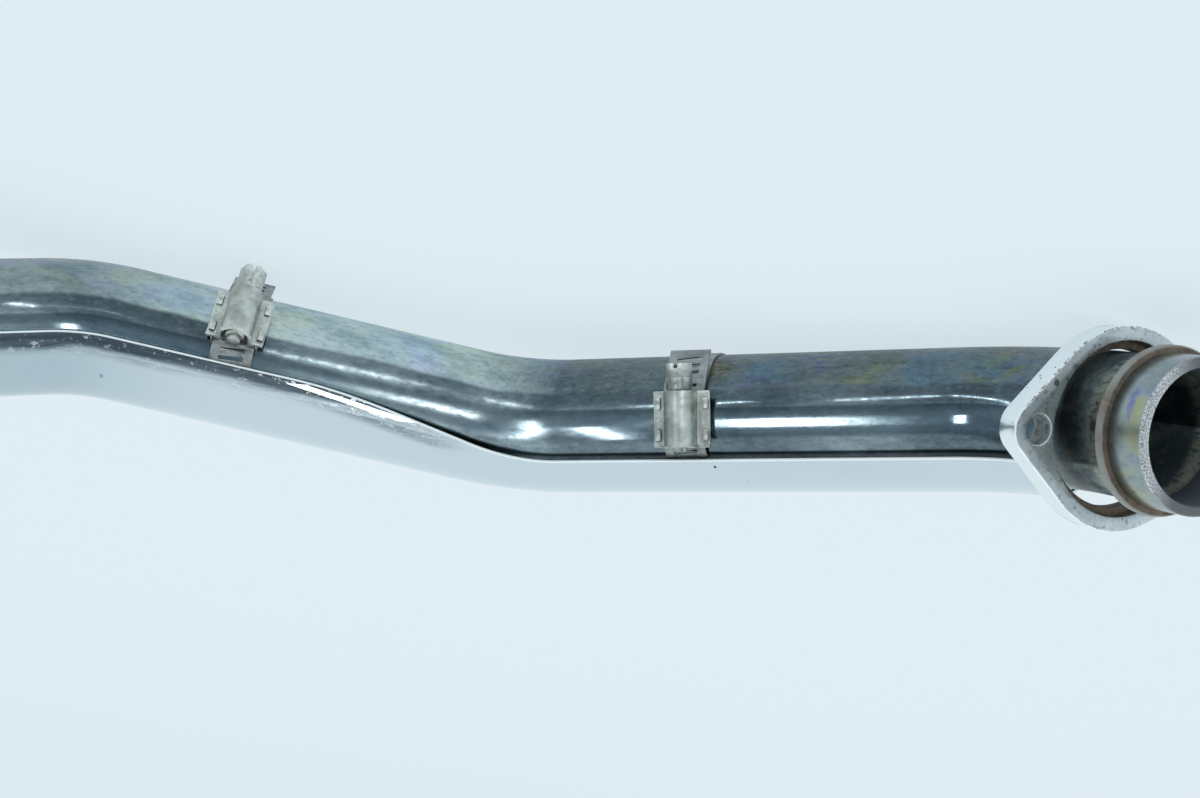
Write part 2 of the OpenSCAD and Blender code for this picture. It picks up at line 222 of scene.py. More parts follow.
def add_object(name: str, data: bpy.types.ID) -> bpy.types.Object:
    """Adds an object to the scene.

    Args:
        name: Name of the object.
        data: Its mesh, camera or light.

    Returns:
        The object.
    """
    made = bpy.data.objects.new(name, data)
    bpy.context.scene.collection.objects.link(made)
    return made


def smooth_step(low: float, high: float, value: float) -> float:
    """Returns 0 below low, 1 above high and a smooth rise between."""
    t = min(1.0, max(0.0, (value - low) / (high - low)))
    return t * t * (3 - 2 * t)


def plain_copy(source: bpy.types.Object, name: str) -> bpy.types.Object:
    """Turns an object with modifiers into a plain mesh and removes the object.

    Args:
        source: The object with live modifiers.
        name: Name of the new object.

    Returns:
        The plain object, linked to the scene.
    """
    graph = bpy.context.evaluated_depsgraph_get()
    mesh = bpy.data.meshes.new_from_object(source.evaluated_get(graph), depsgraph=graph)
    made = add_object(name, mesh)
    bpy.data.objects.remove(source)
    return made


def round_edges(piece: bpy.types.Object, width: float, segments: int, sharp_angle: float) -> None:
    """Adds a bevel along the sharp edges of a piece.

    Args:
        piece: The piece.
        width: Width of the bevel, in millimetres.
        segments: How many faces go round it.
        sharp_angle: The angle, in degrees, above which an edge gets it.
    """
    bevel = piece.modifiers.new("edge", "BEVEL")
    bevel.width = width * MM
    bevel.segments = segments
    bevel.limit_method = "ANGLE"
    bevel.angle_limit = math.radians(sharp_angle)


def soften(mesh: bpy.types.Mesh, limit: float = 38.0) -> None:
    """Shades a mesh smooth.

    Args:
        mesh: The mesh.
        limit: The angle, in degrees, above which an edge stays crisp.
    """
    work = bmesh.new()
    work.from_mesh(mesh)
    for face in work.faces:
        face.smooth = True
    for edge in work.edges:
        edge.smooth = len(edge.link_faces) != 2 or edge.calc_face_angle(0.0) < math.radians(limit)
    work.to_mesh(mesh)
    work.free()


def store_bench(mesh: bpy.types.Mesh, frame_mm: Matrix) -> None:
    """Stores each vertex's place in a piece's own frame, in metres, for the materials.

    Args:
        mesh: The piece's mesh.
        frame_mm: The piece's own frame, in millimetres.
    """
    back = frame_mm.inverted()
    values = [value for v in mesh.vertices for value in (back @ (v.co / MM)) * MM]
    if BENCH in mesh.attributes:
        mesh.attributes.remove(mesh.attributes[BENCH])
    mesh.attributes.new(BENCH, "FLOAT_VECTOR", "POINT").data.foreach_set("vector", values)


def hand_over(piece: bpy.types.Object, body: Body, slot: str, *nodes: str) -> None:
    """Puts a finished piece on its body, in the place of the nodes that it stands for.

    Args:
        piece: The finished piece.
        body: The body that it rides on.
        slot: Not used.
        nodes: The CAD nodes that it replaces.
    """
    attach(piece, body.value)
    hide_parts(*nodes)
    LOG.info("%s: %d faces on %s", piece.name, len(piece.data.polygons), body.value)


class Tree:
    """A Geometry Nodes tree under construction."""

    def __init__(self, name: str, inputs: Sequence[tuple[str, str]]) -> None:
        """Opens a tree with a geometry input, the named inputs and a geometry output.

        Args:
            name: Name of the tree.
            inputs: Name and kind of each further input.
        """
        self.group = bpy.data.node_groups.new(name, "GeometryNodeTree")
        face = self.group.interface
        face.new_socket("Geometry", in_out="INPUT", socket_type="NodeSocketGeometry")
        for label, kind in inputs:
            face.new_socket(label, in_out="INPUT", socket_type="NodeSocket" + kind)
        face.new_socket("Geometry", in_out="OUTPUT", socket_type="NodeSocketGeometry")
        self.source = self.group.nodes.new("NodeGroupInput").outputs
        self.sink = self.group.nodes.new("NodeGroupOutput").inputs[0]

    def add(self, kind: str, settings: Optional[dict] = None, **links: object) -> bpy.types.Node:
        """Adds a node, sets its properties, and links or fills its inputs by name.

        Args:
            kind: The node's type without its common prefix, or in full.
            settings: Properties of the node.
            links: Input names with _ for a blank, each with a socket or a value.

        Returns:
            The node.
        """
        full = kind if kind.startswith(("Shader", "Function")) else "GeometryNode" + kind
        node = self.group.nodes.new(full)
        for key, value in (settings or {}).items():
            setattr(node, key, value)
        for key, value in links.items():
            label = key.replace("_", " ")
            socket = next(s for s in node.inputs if s.name == label and s.enabled)
            if isinstance(value, bpy.types.NodeSocket):
                self.group.links.new(value, socket)
            else:
                socket.default_value = value
        return node

    def named(self, name: str, kind: str = "FLOAT") -> bpy.types.NodeSocket:
        """Returns a named attribute's value."""
        node = self.add("InputNamedAttribute", {"data_type": kind}, Name=name)
        return next(s for s in node.outputs if s.name == "Attribute" and s.enabled)

    def math(self, operation: str, *values: object) -> bpy.types.NodeSocket:
        """Returns the result of a math node."""
        node = self.add("ShaderNodeMath", {"operation": operation})
        return self.fill(node, values)

    def vector_math(self, operation: str, *values: object) -> bpy.types.NodeSocket:
        """Returns the result of a vector math node; SCALE takes a vector and a number."""
        node = self.add("ShaderNodeVectorMath", {"operation": operation})
        return self.fill(node, values)

    def fill(self, node: bpy.types.Node, values: Sequence[object]) -> bpy.types.NodeSocket:
        """Fills a node's usable inputs in order.

        Args:
            node: The node.
            values: A socket or a value for each input.

        Returns:
            The node's first usable output.
        """
        usable = [s for s in node.inputs if s.enabled]
        for socket, value in zip(usable, values):
            if isinstance(value, bpy.types.NodeSocket):
                self.group.links.new(value, socket)
            else:
                socket.default_value = value
        return next(s for s in node.outputs if s.enabled)

    def end(self, geometry: bpy.types.NodeSocket, material: object) -> bpy.types.NodeTree:
        """Realizes instances, sets the material and closes the tree.

        Args:
            geometry: The tree's finished geometry.
            material: The socket that gives the material.

        Returns:
            The tree.
        """
        real = self.add("RealizeInstances", Geometry=geometry)
        dressed = self.add("SetMaterial", Geometry=real.outputs[0], Material=material)
        self.group.links.new(dressed.outputs[0], self.sink)
        return self.group


def apply_tree(obj: bpy.types.Object, group: bpy.types.NodeTree, values: dict[str, object]) -> None:
    """Adds a Geometry Nodes modifier and sets its inputs by their identifiers.

    Args:
        obj: The object that gets the modifier.
        group: The tree.
        values: The value of each named input.
    """
    modifier = obj.modifiers.new("shape", "NODES")
    modifier.node_group = group
    for item in group.interface.items_tree:
        if item.item_type == "SOCKET" and item.in_out == "INPUT" and item.name in values:
            modifier[item.identifier] = values[item.name]


def swept_wall_tree() -> bpy.types.NodeTree:
    """Builds the tree that lays a wall round a path.

    Each point of the path carries its centre, two directions, a radius and the two angles that the
    wall runs between, so one tree makes the pipe, the shield and every turned piece.

    Returns:
        The tree.
    """
    tree = Tree("swept_wall", [("Steps", "Int"), ("Closed", "Bool"), ("Material", "Material")])
    steps, closed, material = tree.source[1], tree.source[2], tree.source[3]
    path = tree.add("MeshToCurve", Mesh=tree.source[0])
    ring = tree.add("CurvePrimitiveCircle", Resolution=steps)
    line = tree.add("CurvePrimitiveLine")
    spaced = tree.add("ResampleCurve", Curve=line.outputs[0], Count=steps)
    around = tree.fill(tree.add("Switch", {"input_type": "GEOMETRY"}),
                       (closed, spaced.outputs[0], ring.outputs[0]))
    share = tree.add("SplineParameter").outputs["Factor"]
    marked = tree.add("StoreNamedAttribute", {"data_type": "FLOAT", "domain": "POINT"},
                      Geometry=around, Name="share", Value=share)
    wall = tree.add("CurveToMesh", Curve=path.outputs[0], Profile_Curve=marked.outputs[0])
    first = tree.named("first_angle")
    spread = tree.math("SUBTRACT", tree.named("last_angle"), first)
    angle = tree.math("ADD", first, tree.math("MULTIPLY", spread, tree.named("share")))
    girth = tree.named("girth")
    across = tree.math("MULTIPLY", girth, tree.math("COSINE", angle))
    upward = tree.math("MULTIPLY", girth, tree.math("SINE", angle))
    side = tree.vector_math("SCALE", tree.named("side", "FLOAT_VECTOR"), across)
    rise = tree.vector_math("SCALE", tree.named("up", "FLOAT_VECTOR"), upward)
    reach = tree.vector_math("ADD", side, rise)
    place = tree.vector_math("ADD", tree.named("centre", "FLOAT_VECTOR"), reach)
    moved = tree.add("SetPosition", Geometry=wall.outputs[0], Position=place)
    bench = tree.add("ShaderNodeCombineXYZ", X=across, Y=upward, Z=tree.named("along"))
    kept = tree.add("StoreNamedAttribute", {"data_type": "FLOAT_VECTOR", "domain": "POINT"},
                    Geometry=moved.outputs[0], Name=BENCH, Value=bench.outputs[0])
    return tree.end(kept.outputs[0], material)


@dataclass
class Ring:
    """One station of a swept wall: where it is, how wide, and between which angles it runs."""

    frame: Matrix
    girth: float
    along: float
    first: float = 0.0
    last: float = 360.0


@dataclass
class SweptWall:
    """A wall laid round a path by Geometry Nodes, given a thickness and softened edges.

    The path closes on itself where loop is set, as on a turned piece, whose profile is its path.
    """

    name: str
    rings: list[Ring]
    section: Section
    steps: int
    material: bpy.types.Material
    thickness: float = 0.0
    edge: float = 0.0
    loop: bool = False
    edge_segments: int = 2
    sharp_angle: float = 50.0

    def path(self) -> bpy.types.Object:
        """Draws the path as a polyline whose points carry the wall's values.

        Returns:
            The path.
        """
        mesh = bpy.data.meshes.new(self.name + "_path")
        points = [ring.frame.translation * MM for ring in self.rings]
        count = len(points)
        edges = [(i, (i + 1) % count) for i in range(count if self.loop else count - 1)]
        mesh.from_pydata(points, edges, [])
        vectors = {
            "centre": points,
            "side": [ring.frame.col[0].to_3d() for ring in self.rings],
            "up": [ring.frame.col[1].to_3d() for ring in self.rings]}
        numbers = {
            "girth": [ring.girth * MM for ring in self.rings],
            "along": [ring.along * MM for ring in self.rings],
            "first_angle": [math.radians(ring.first) for ring in self.rings],
            "last_angle": [math.radians(ring.last) for ring in self.rings]}
        for name, values in vectors.items():
            layer = mesh.attributes.new(name, "FLOAT_VECTOR", "POINT")
            layer.data.foreach_set("vector", [x for v in values for x in v])
        for name, values in numbers.items():
            mesh.attributes.new(name, "FLOAT", "POINT").data.foreach_set("value", values)
        return add_object(self.name + "_path", mesh)

    def build(self) -> bpy.types.Object:
        """Lays the wall, thickens it and softens its edges.

        Returns:
            The wall as a plain mesh with outward faces.
        """
        group = bpy.data.node_groups.get("swept_wall") or swept_wall_tree()
        obj = self.path()
        apply_tree(obj, group, {
            "Steps": self.steps, "Closed": self.section.value, "Material": self.material})
        wall = plain_copy(obj, self.name)
        self.face_outwards(wall.data)
        if self.thickness:
            solid = wall.modifiers.new("wall", "SOLIDIFY")
            solid.thickness = self.thickness * MM
            solid.offset = -1
            solid.use_even_offset = True
        if self.edge:
            round_edges(wall, self.edge, self.edge_segments, self.sharp_angle)
        if wall.modifiers:
            wall = plain_copy(wall, self.name)
        for layer in ("share", "girth", "along", "first_angle", "last_angle", "side", "up", "centre"):
            if layer in wall.data.attributes:
                wall.data.attributes.remove(wall.data.attributes[layer])
        soften(wall.data)
        return wall

    def face_outwards(self, mesh: bpy.types.Mesh) -> None:
        """Turns the faces over where they point into the wall's path.

        Args:
            mesh: The wall's mesh, before it gets its thickness.
        """
        if self.loop:
            work = bmesh.new()
            work.from_mesh(mesh)
            bmesh.ops.recalc_face_normals(work, faces=work.faces)
            work.to_mesh(mesh)
            work.free()
            return
        middle = mesh.attributes["centre"].data
        outward = 0.0
        for face in mesh.polygons:
            outward += face.normal.dot(face.center - middle[face.vertices[0]].vector)
        if outward < 0:
            mesh.flip_normals()


# Finishes

@dataclass(frozen=True)
class Grain:
    """A noise pattern; stretch below 1 draws it out along the piece, and twist makes it swirl."""

    scale: float
    detail: float = 3.0
    rough: float = 0.55
    stretch: float = 1.0
    twist: float = 0.0


@dataclass(frozen=True)
class Pits:
    """Small round pits in clusters, each pair of numbers running from nothing to all."""

    scale: float
    edge: tuple[float, float]
    cluster: Grain
    cluster_edge: tuple[float, float]


@dataclass(frozen=True)
class Mark:
    """A round mark at one place on the bench, in millimetres, soft over a share of its reach."""

    place: Point
    reach: float
    soft: float = 0.4


class ShaderTree:
    """A shader tree under construction, with short calls for the nodes that it needs."""

    def __init__(self, tree: bpy.types.NodeTree) -> None:
        """Takes the tree to build in."""
        self.nodes = tree.nodes
        self.links = tree.links

    def put(self, socket: bpy.types.NodeSocket, value: object) -> None:
        """Fills a socket.

        Args:
            socket: The socket.
            value: Another socket to link it to, or the value to set.
        """
        if isinstance(value, bpy.types.NodeSocket):
            self.links.new(value, socket)
        elif isinstance(value, tuple) and len(value) == 3 and len(socket.default_value) == 4:
            socket.default_value = (*value, 1.0)
        else:
            socket.default_value = value

    def math(self, operation: str, a: object, b: object = 0.0) -> bpy.types.NodeSocket:
        """Adds a math node.

        Args:
            operation: Blender's name for what it does.
            a: Its first socket or value.
            b: Its second one.

        Returns:
            The result.
        """
        node = self.nodes.new("ShaderNodeMath")
        node.operation = operation
        self.put(node.inputs[0], a)
        self.put(node.inputs[1], b)
        return node.outputs[0]

    def times(self, a: object, b: object) -> bpy.types.NodeSocket:
        """Returns the product of two values."""
        return self.math("MULTIPLY", a, b)

    def plus(self, a: object, b: object) -> bpy.types.NodeSocket:
        """Returns the sum of two values."""
        return self.math("ADD", a, b)

    def minus(self, a: object, b: object) -> bpy.types.NodeSocket:
        """Returns the first value less the second."""
        return self.math("SUBTRACT", a, b)

    def most(self, a: object, b: object) -> bpy.types.NodeSocket:
        """Returns the larger of two values."""
        return self.math("MAXIMUM", a, b)

    def total(self, base: object, *parts: tuple[object, object]) -> bpy.types.NodeSocket:
        """Adds up a value and the products of pairs.

        Args:
            base: The value.
            parts: The pairs.

        Returns:
            The sum.
        """
        for share, amount in parts:
            base = self.plus(base, self.times(share, amount))
        return base

    def parts(self, vector: bpy.types.NodeSocket) -> tuple[bpy.types.NodeSocket, ...]:
        """Splits a vector.

        Args:
            vector: The vector.

        Returns:
            Its three parts.
        """
        node = self.nodes.new("ShaderNodeSeparateXYZ")
        self.put(node.inputs[0], vector)
        return tuple(node.outputs)

    def rise(self, value: object, low: float, high: float) -> bpy.types.NodeSocket:
        """Steps smoothly from 0 to 1.

        Args:
            value: The value to follow.
            low: Where the step starts; it may lie above its end.
            high: Where the step ends.

        Returns:
            The step.
        """
        node = self.nodes.new("ShaderNodeMapRange")
        node.interpolation_type = "SMOOTHSTEP"
        self.put(node.inputs["Value"], value)
        node.inputs["From Min"].default_value = low
        node.inputs["From Max"].default_value = high
        return node.outputs["Result"]

    def rise_mm(self, value: object, low: float, high: float) -> bpy.types.NodeSocket:
        """Returns a smooth step of a length, between two lengths in millimetres."""
        return self.rise(value, low * MM, high * MM)

    def mix(self, share: object, a: object, b: object,
            blend: Blend = Blend.COVER) -> bpy.types.NodeSocket:
        """Mixes two colours.

        Args:
            share: The share of the second colour.
            a: The first colour.
            b: The second colour.
            blend: How the second one is laid over the first.

        Returns:
            The mixed colour.
        """
        node = self.nodes.new("ShaderNodeMix")
        node.data_type = "RGBA"
        node.blend_type = blend.value
        self.put(node.inputs[0], share)
        self.put(node.inputs[MIX_A], a)
        self.put(node.inputs[MIX_B], b)
        return node.outputs[MIX_OUT]


class Sketch(ShaderTree):
    """A material under construction, which reads a piece's bench attribute."""

    def __init__(self, name: str) -> None:
        """Opens a material and splits the bench into its three parts.

        Args:
            name: Name of the material.
        """
        self.material = bpy.data.materials.new(name)
        self.material.use_nodes = True
        super().__init__(self.material.node_tree)
        self.shader = self.nodes["Principled BSDF"]
        attribute = self.nodes.new("ShaderNodeAttribute")
        attribute.attribute_name = BENCH
        self.bench = attribute.outputs["Vector"]
        self.x, self.y, self.along = self.parts(self.bench)

    def radius(self, centre: tuple[float, float] = (0.0, 0.0)) -> bpy.types.NodeSocket:
        """Measures the distance from an axis that runs along the bench.

        Args:
            centre: Where the axis stands, in millimetres.

        Returns:
            The distance, in metres.
        """
        dx = self.minus(self.x, centre[0] * MM)
        dy = self.minus(self.y, centre[1] * MM)
        return self.math("SQRT", self.plus(self.times(dx, dx), self.times(dy, dy)))

    def noise(self, grain: Grain) -> bpy.types.NodeSocket:
        """Adds a noise.

        Args:
            grain: The noise pattern.

        Returns:
            Its value, from 0 to 1.
        """
        mapping = self.nodes.new("ShaderNodeMapping")
        mapping.inputs["Scale"].default_value = (1, 1, grain.stretch)
        self.put(mapping.inputs["Vector"], self.bench)
        node = self.nodes.new("ShaderNodeTexNoise")
        self.put(node.inputs["Vector"], mapping.outputs[0])
        for key, value in (("Scale", grain.scale), ("Detail", grain.detail),
                           ("Roughness", grain.rough), ("Distortion", grain.twist)):
            node.inputs[key].default_value = value
        return node.outputs["Fac"]

    def pits(self, pits: Pits) -> bpy.types.NodeSocket:
        """Scatters pits over the surface.

        Args:
            pits: Their pattern.

        Returns:
            1 in each pit and 0 outside.
        """
        node = self.nodes.new("ShaderNodeTexVoronoi")
        self.put(node.inputs["Vector"], self.bench)
        node.inputs["Scale"].default_value = pits.scale
        return self.times(self.rise(node.outputs["Distance"], *pits.edge),
                          self.rise(self.noise(pits.cluster), *pits.cluster_edge))

    def mark(self, mark: Mark) -> bpy.types.NodeSocket:
        """Sets one round mark on the surface.

        Args:
            mark: The mark.

        Returns:
            1 in the mark and 0 outside.
        """
        node = self.nodes.new("ShaderNodeVectorMath")
        node.operation = "DISTANCE"
        self.put(node.inputs[0], self.bench)
        node.inputs[1].default_value = tuple(part * MM for part in mark.place)
        return self.rise_mm(node.outputs["Value"], mark.reach, mark.reach * (1 - mark.soft))

    def ramp(self, value: object, stops: Sequence[Stop]) -> bpy.types.NodeSocket:
        """Makes a colour follow a value.

        Args:
            value: The value, from 0 to 1.
            stops: Places on it, each with its colour.

        Returns:
            The colour.
        """
        node = self.nodes.new("ShaderNodeValToRGB")
        self.put(node.inputs[0], value)
        points = node.color_ramp.elements
        while len(points) < len(stops):
            points.new(0.5)
        for point, (place, color) in zip(points, stops):
            point.position = place
            point.color = (*color, 1.0)
        return node.outputs["Color"]

    def along_shares(self, stops: Sequence[tuple[float, float]]) -> bpy.types.NodeSocket:
        """Returns a share that changes along the piece, given at distances in millimetres."""
        return self.ramp(self.along, [(place * MM, grey(share)) for place, share in stops])

    def over(self, color: object, share: object, other: object, strength: float = 1.0,
             blend: Blend = Blend.COVER) -> bpy.types.NodeSocket:
        """Lays a colour over a share of another.

        Args:
            color: The colour underneath.
            share: Where the other one lies.
            other: The colour on top.
            strength: How much of it shows there.
            blend: How it is laid over.

        Returns:
            The colour of both.
        """
        if strength < 1.0:
            share = self.times(share, strength)
        return self.mix(share, color, other, blend)

    def bump(self, height: object, depth: float, strength: float = 1.0) -> None:
        """Puts a relief on the surface.

        Args:
            height: Its height, from 0 to 1.
            depth: Its depth, in millimetres.
            strength: How strongly it shows.
        """
        node = self.nodes.new("ShaderNodeBump")
        node.inputs["Strength"].default_value = strength
        node.inputs["Distance"].default_value = depth * MM
        self.put(node.inputs["Height"], height)
        self.put(self.shader.inputs["Normal"], node.outputs[0])

    def metal(self, color: object, rough: object, metallic: object = 1.0) -> bpy.types.Material:
        """Fills the shader.

        Args:
            color: The base colour.
            rough: The roughness.
            metallic: The share of metal.

        Returns:
            The material.
        """
        self.put(self.shader.inputs["Base Color"], color)
        self.put(self.shader.inputs["Roughness"], rough)
        self.put(self.shader.inputs["Metallic"], metallic)
        return self.material


@dataclass(frozen=True)
class TintedChrome:
    """Old chrome on the pipe: a dark glossy side, a tinted satin side, and a scorched port end.

    Angles are in degrees about the pipe, and distances in millimetres from the mouth. The middle angle
    lies in the glossy side, so the angles' seam is on the far side of the pipe. The glossy side carries
    painted shade: darker at the shield's edge and where the floor and the bright sky are mirrored.
    """

    name: str = "tinted_chrome"
    middle_angle: float = 150.0
    satin_border: tuple[float, float] = (176.5, 181.5)
    border_sway: float = 0.04
    haze_border: tuple[float, float] = (169.0, 160.0)
    tucked_border: tuple[float, float] = (121.0, 116.0)
    shield_end: tuple[float, float] = (530.0, 522.0)
    scorch_end: tuple[float, float] = (54.0, 44.0)
    flare_end: tuple[float, float] = (23.2, 16.8)
    flare_widening: float = 1.18
    bore_edge: tuple[float, float] = (21.2, 20.9)
    pale_along: tuple[tuple[float, float], ...] = ((225, 0), (270, 1), (365, 1), (405, 0.45))
    haze_along: tuple[tuple[float, float], ...] = (
        (90, 0), (120, 0.55), (145, 0.15), (215, 0.3), (250, 1), (338, 1), (352, 0.12), (400, 0.12),
        (430, 0.5))
    gloss: Color = (0.40, 0.52, 0.59)
    # Painted shade on the glossy side: the next colour darkens it at the shield's edge and where the
    # floor is mirrored, the one after it where the bright sky is mirrored.
    painted_shade: Color = (0.088, 0.118, 0.138)
    low: Color = (0.135, 0.175, 0.205)
    tucked: Color = (0.24, 0.27, 0.29)
    hazed: Color = (0.56, 0.66, 0.69)
    satin: Color = (0.15, 0.19, 0.20)
    pale: Color = (0.54, 0.64, 0.65)
    straw: Color = (1.45, 1.25, 0.62)
    violet: Color = (1.05, 0.82, 1.35)
    blue: Color = (0.70, 0.98, 1.35)
    clouded: Color = (0.40, 0.48, 0.50)
    mottled: Color = (0.36, 0.40, 0.42)
    glint: Color = (0.80, 0.88, 0.90)
    spot: Color = (0.06, 0.045, 0.03)
    burnt: Color = (0.065, 0.085, 0.10)
    smoked: Color = (0.19, 0.22, 0.21)
    flare: Color = (0.38, 0.39, 0.31)
    stain: Color = (0.10, 0.085, 0.06)
    bore: Color = (0.095, 0.105, 0.13)
    spots: Pits = Pits(160, (0.16, 0.05), Grain(40), (0.56, 0.66))
    clamp_stain: Mark = Mark((-20.3, -9.0, 171.0), 9.0, 0.7)
    flare_stain: Mark = Mark((-19.7, 10.3, 21.0), 2.4)

    def build(self) -> bpy.types.Material:
        """Paints the pipe from its sides, its tints and the marks of age.

        Returns:
            The material.
        """
        s = Sketch(self.name)
        haze = s.along_shares(self.haze_along)
        is_satin, dark_side, tucked = self.sides(s, haze)
        satin = s.mix(s.along_shares(self.pale_along), self.satin, self.pale)
        color = s.mix(is_satin, dark_side, self.tints(s, satin))
        mottle = s.noise(Grain(640, 7, 0.74, 0.5))
        cloud = s.noise(Grain(120, 7, 0.70, 0.4))
        color = s.over(color, s.rise(cloud, 0.42, 0.62), self.clouded, 0.5, Blend.TINT)
        color = s.over(color, s.rise(mottle, 0.48, 0.68), self.mottled, 0.5, Blend.TINT)
        color = s.over(color, s.rise(mottle, 0.48, 0.30), self.glint, 0.10)
        color = s.over(color, s.pits(self.spots), self.spot, 0.5)
        brown = s.times(s.mark(self.clamp_stain), s.rise(mottle, 0.40, 0.56))
        color = s.over(color, brown, self.stain, 0.8)
        scorch = s.rise_mm(s.along, *self.scorch_end)
        color = s.over(color, scorch, self.scorched(s, mottle))
        flared = s.times(s.rise_mm(s.along, *self.flare_end), self.flare_widening * MM)
        inside = s.rise_mm(s.minus(s.radius(), flared), *self.bore_edge)
        color = s.over(color, inside, self.bore)
        rough = s.total(0.06, (is_satin, 0.27), (haze, 0.10), (s.rise(mottle, 0.3, 0.75), 0.10),
                        (s.most(scorch, inside), 0.32))
        s.bump(s.noise(Grain(420, 5, 0.7)), 0.010, 0.5)
        return s.metal(color, rough, s.minus(1.0, s.most(inside, tucked)))

    def at(self, degrees: float) -> float:
        """Returns the place of an angle about the pipe, where the whole turn runs from 0 to 1."""
        return (degrees - self.middle_angle) / 360 + 0.5

    def sides(self, s: Sketch, haze: object) -> tuple[bpy.types.NodeSocket, ...]:
        """Tells the pipe's sides apart by the angle about it.

        Args:
            s: The material under construction.
            haze: How hazy the glossy side is along the pipe.

        Returns:
            The satin side's share, the glossy side's colour with its painted shade, and the share
            tucked under the shield.
        """
        middle = math.radians(self.middle_angle)
        cos_m, sin_m = math.cos(middle), math.sin(middle)
        ahead = s.plus(s.times(s.x, cos_m), s.times(s.y, sin_m))
        beside = s.minus(s.times(s.y, cos_m), s.times(s.x, sin_m))
        turn = s.plus(s.math("DIVIDE", s.math("ARCTAN2", beside, ahead), 2 * math.pi), 0.5)
        wavy = s.plus(turn, s.times(s.minus(s.noise(Grain(22, 2)), 0.5), self.border_sway))
        # Painted shade: the glossy side's colour is darkened at the shield's edge and in bands where
        # the floor and the bright sky are mirrored.
        dark_side = s.ramp(turn, [(self.at(angle), color) for angle, color in (
            (114, self.tucked), (119, self.painted_shade), (126, self.low), (132, self.low),
            (140, self.gloss), (154, self.gloss), (163.5, self.painted_shade))])

        def past(value: object, border: tuple[float, float]) -> bpy.types.NodeSocket:
            """Returns a smooth step across a border given by two angles."""
            return s.rise(value, self.at(border[0]), self.at(border[1]))

        reach = s.total(0.25, (past(turn, self.haze_border), 0.55))
        patchy = s.times(haze, s.rise(s.noise(Grain(48, 5, 0.66, 0.5)), 0.30, 0.60))
        dark_side = s.over(dark_side, s.times(patchy, reach), self.hazed)
        tucked = s.times(past(turn, self.tucked_border), s.rise_mm(s.along, *self.shield_end))
        return past(wavy, self.satin_border), dark_side, tucked

    def tints(self, s: Sketch, satin: object) -> bpy.types.NodeSocket:
        """Lays blue, violet and straw patches over the satin side, fainter past the middle bend.

        Args:
            s: The material under construction.
            satin: The satin side's plain colour.

        Returns:
            The tinted colour.
        """
        strong = s.total(0.28, (s.rise_mm(s.along, 260, 215), 0.62))
        blotch = s.noise(Grain(70, 8, 0.72, 0.5, 0.7))
        patch = s.noise(Grain(19, 2, 0.5, 0.7))
        straw = s.times(s.rise(blotch, 0.50, 0.62), s.rise(patch, 0.44, 0.58))
        violet = s.times(s.rise(blotch, 0.48, 0.38), s.rise(patch, 0.42, 0.56))
        blue = s.rise(s.noise(Grain(34, 5, 0.64, 0.6)), 0.50, 0.66)
        tinted = s.over(satin, s.times(blue, s.times(strong, 0.7)), self.blue, blend=Blend.TINT)
        tinted = s.over(tinted, s.times(violet, strong), self.violet, blend=Blend.TINT)
        return s.over(tinted, s.times(straw, strong), self.straw, blend=Blend.TINT)

    def scorched(self, s: Sketch, mottle: object) -> bpy.types.NodeSocket:
        """Colours the scorched port end, paler where it flares.

        Args:
            s: The material under construction.
            mottle: The fine noise that breaks up the flare's edge.

        Returns:
            The burnt colour.
        """
        smoke = s.noise(Grain(75, 8, 0.70, 0.8, 0.35))
        burnt = s.mix(s.rise(smoke, 0.42, 0.62), self.burnt, self.smoked)
        flare = s.times(s.rise_mm(s.along, 26.2, 22.2), s.rise(mottle, 0.62, 0.44))
        burnt = s.over(burnt, flare, self.flare, 0.85)
        return s.over(burnt, s.mark(self.flare_stain), self.stain, 0.9)


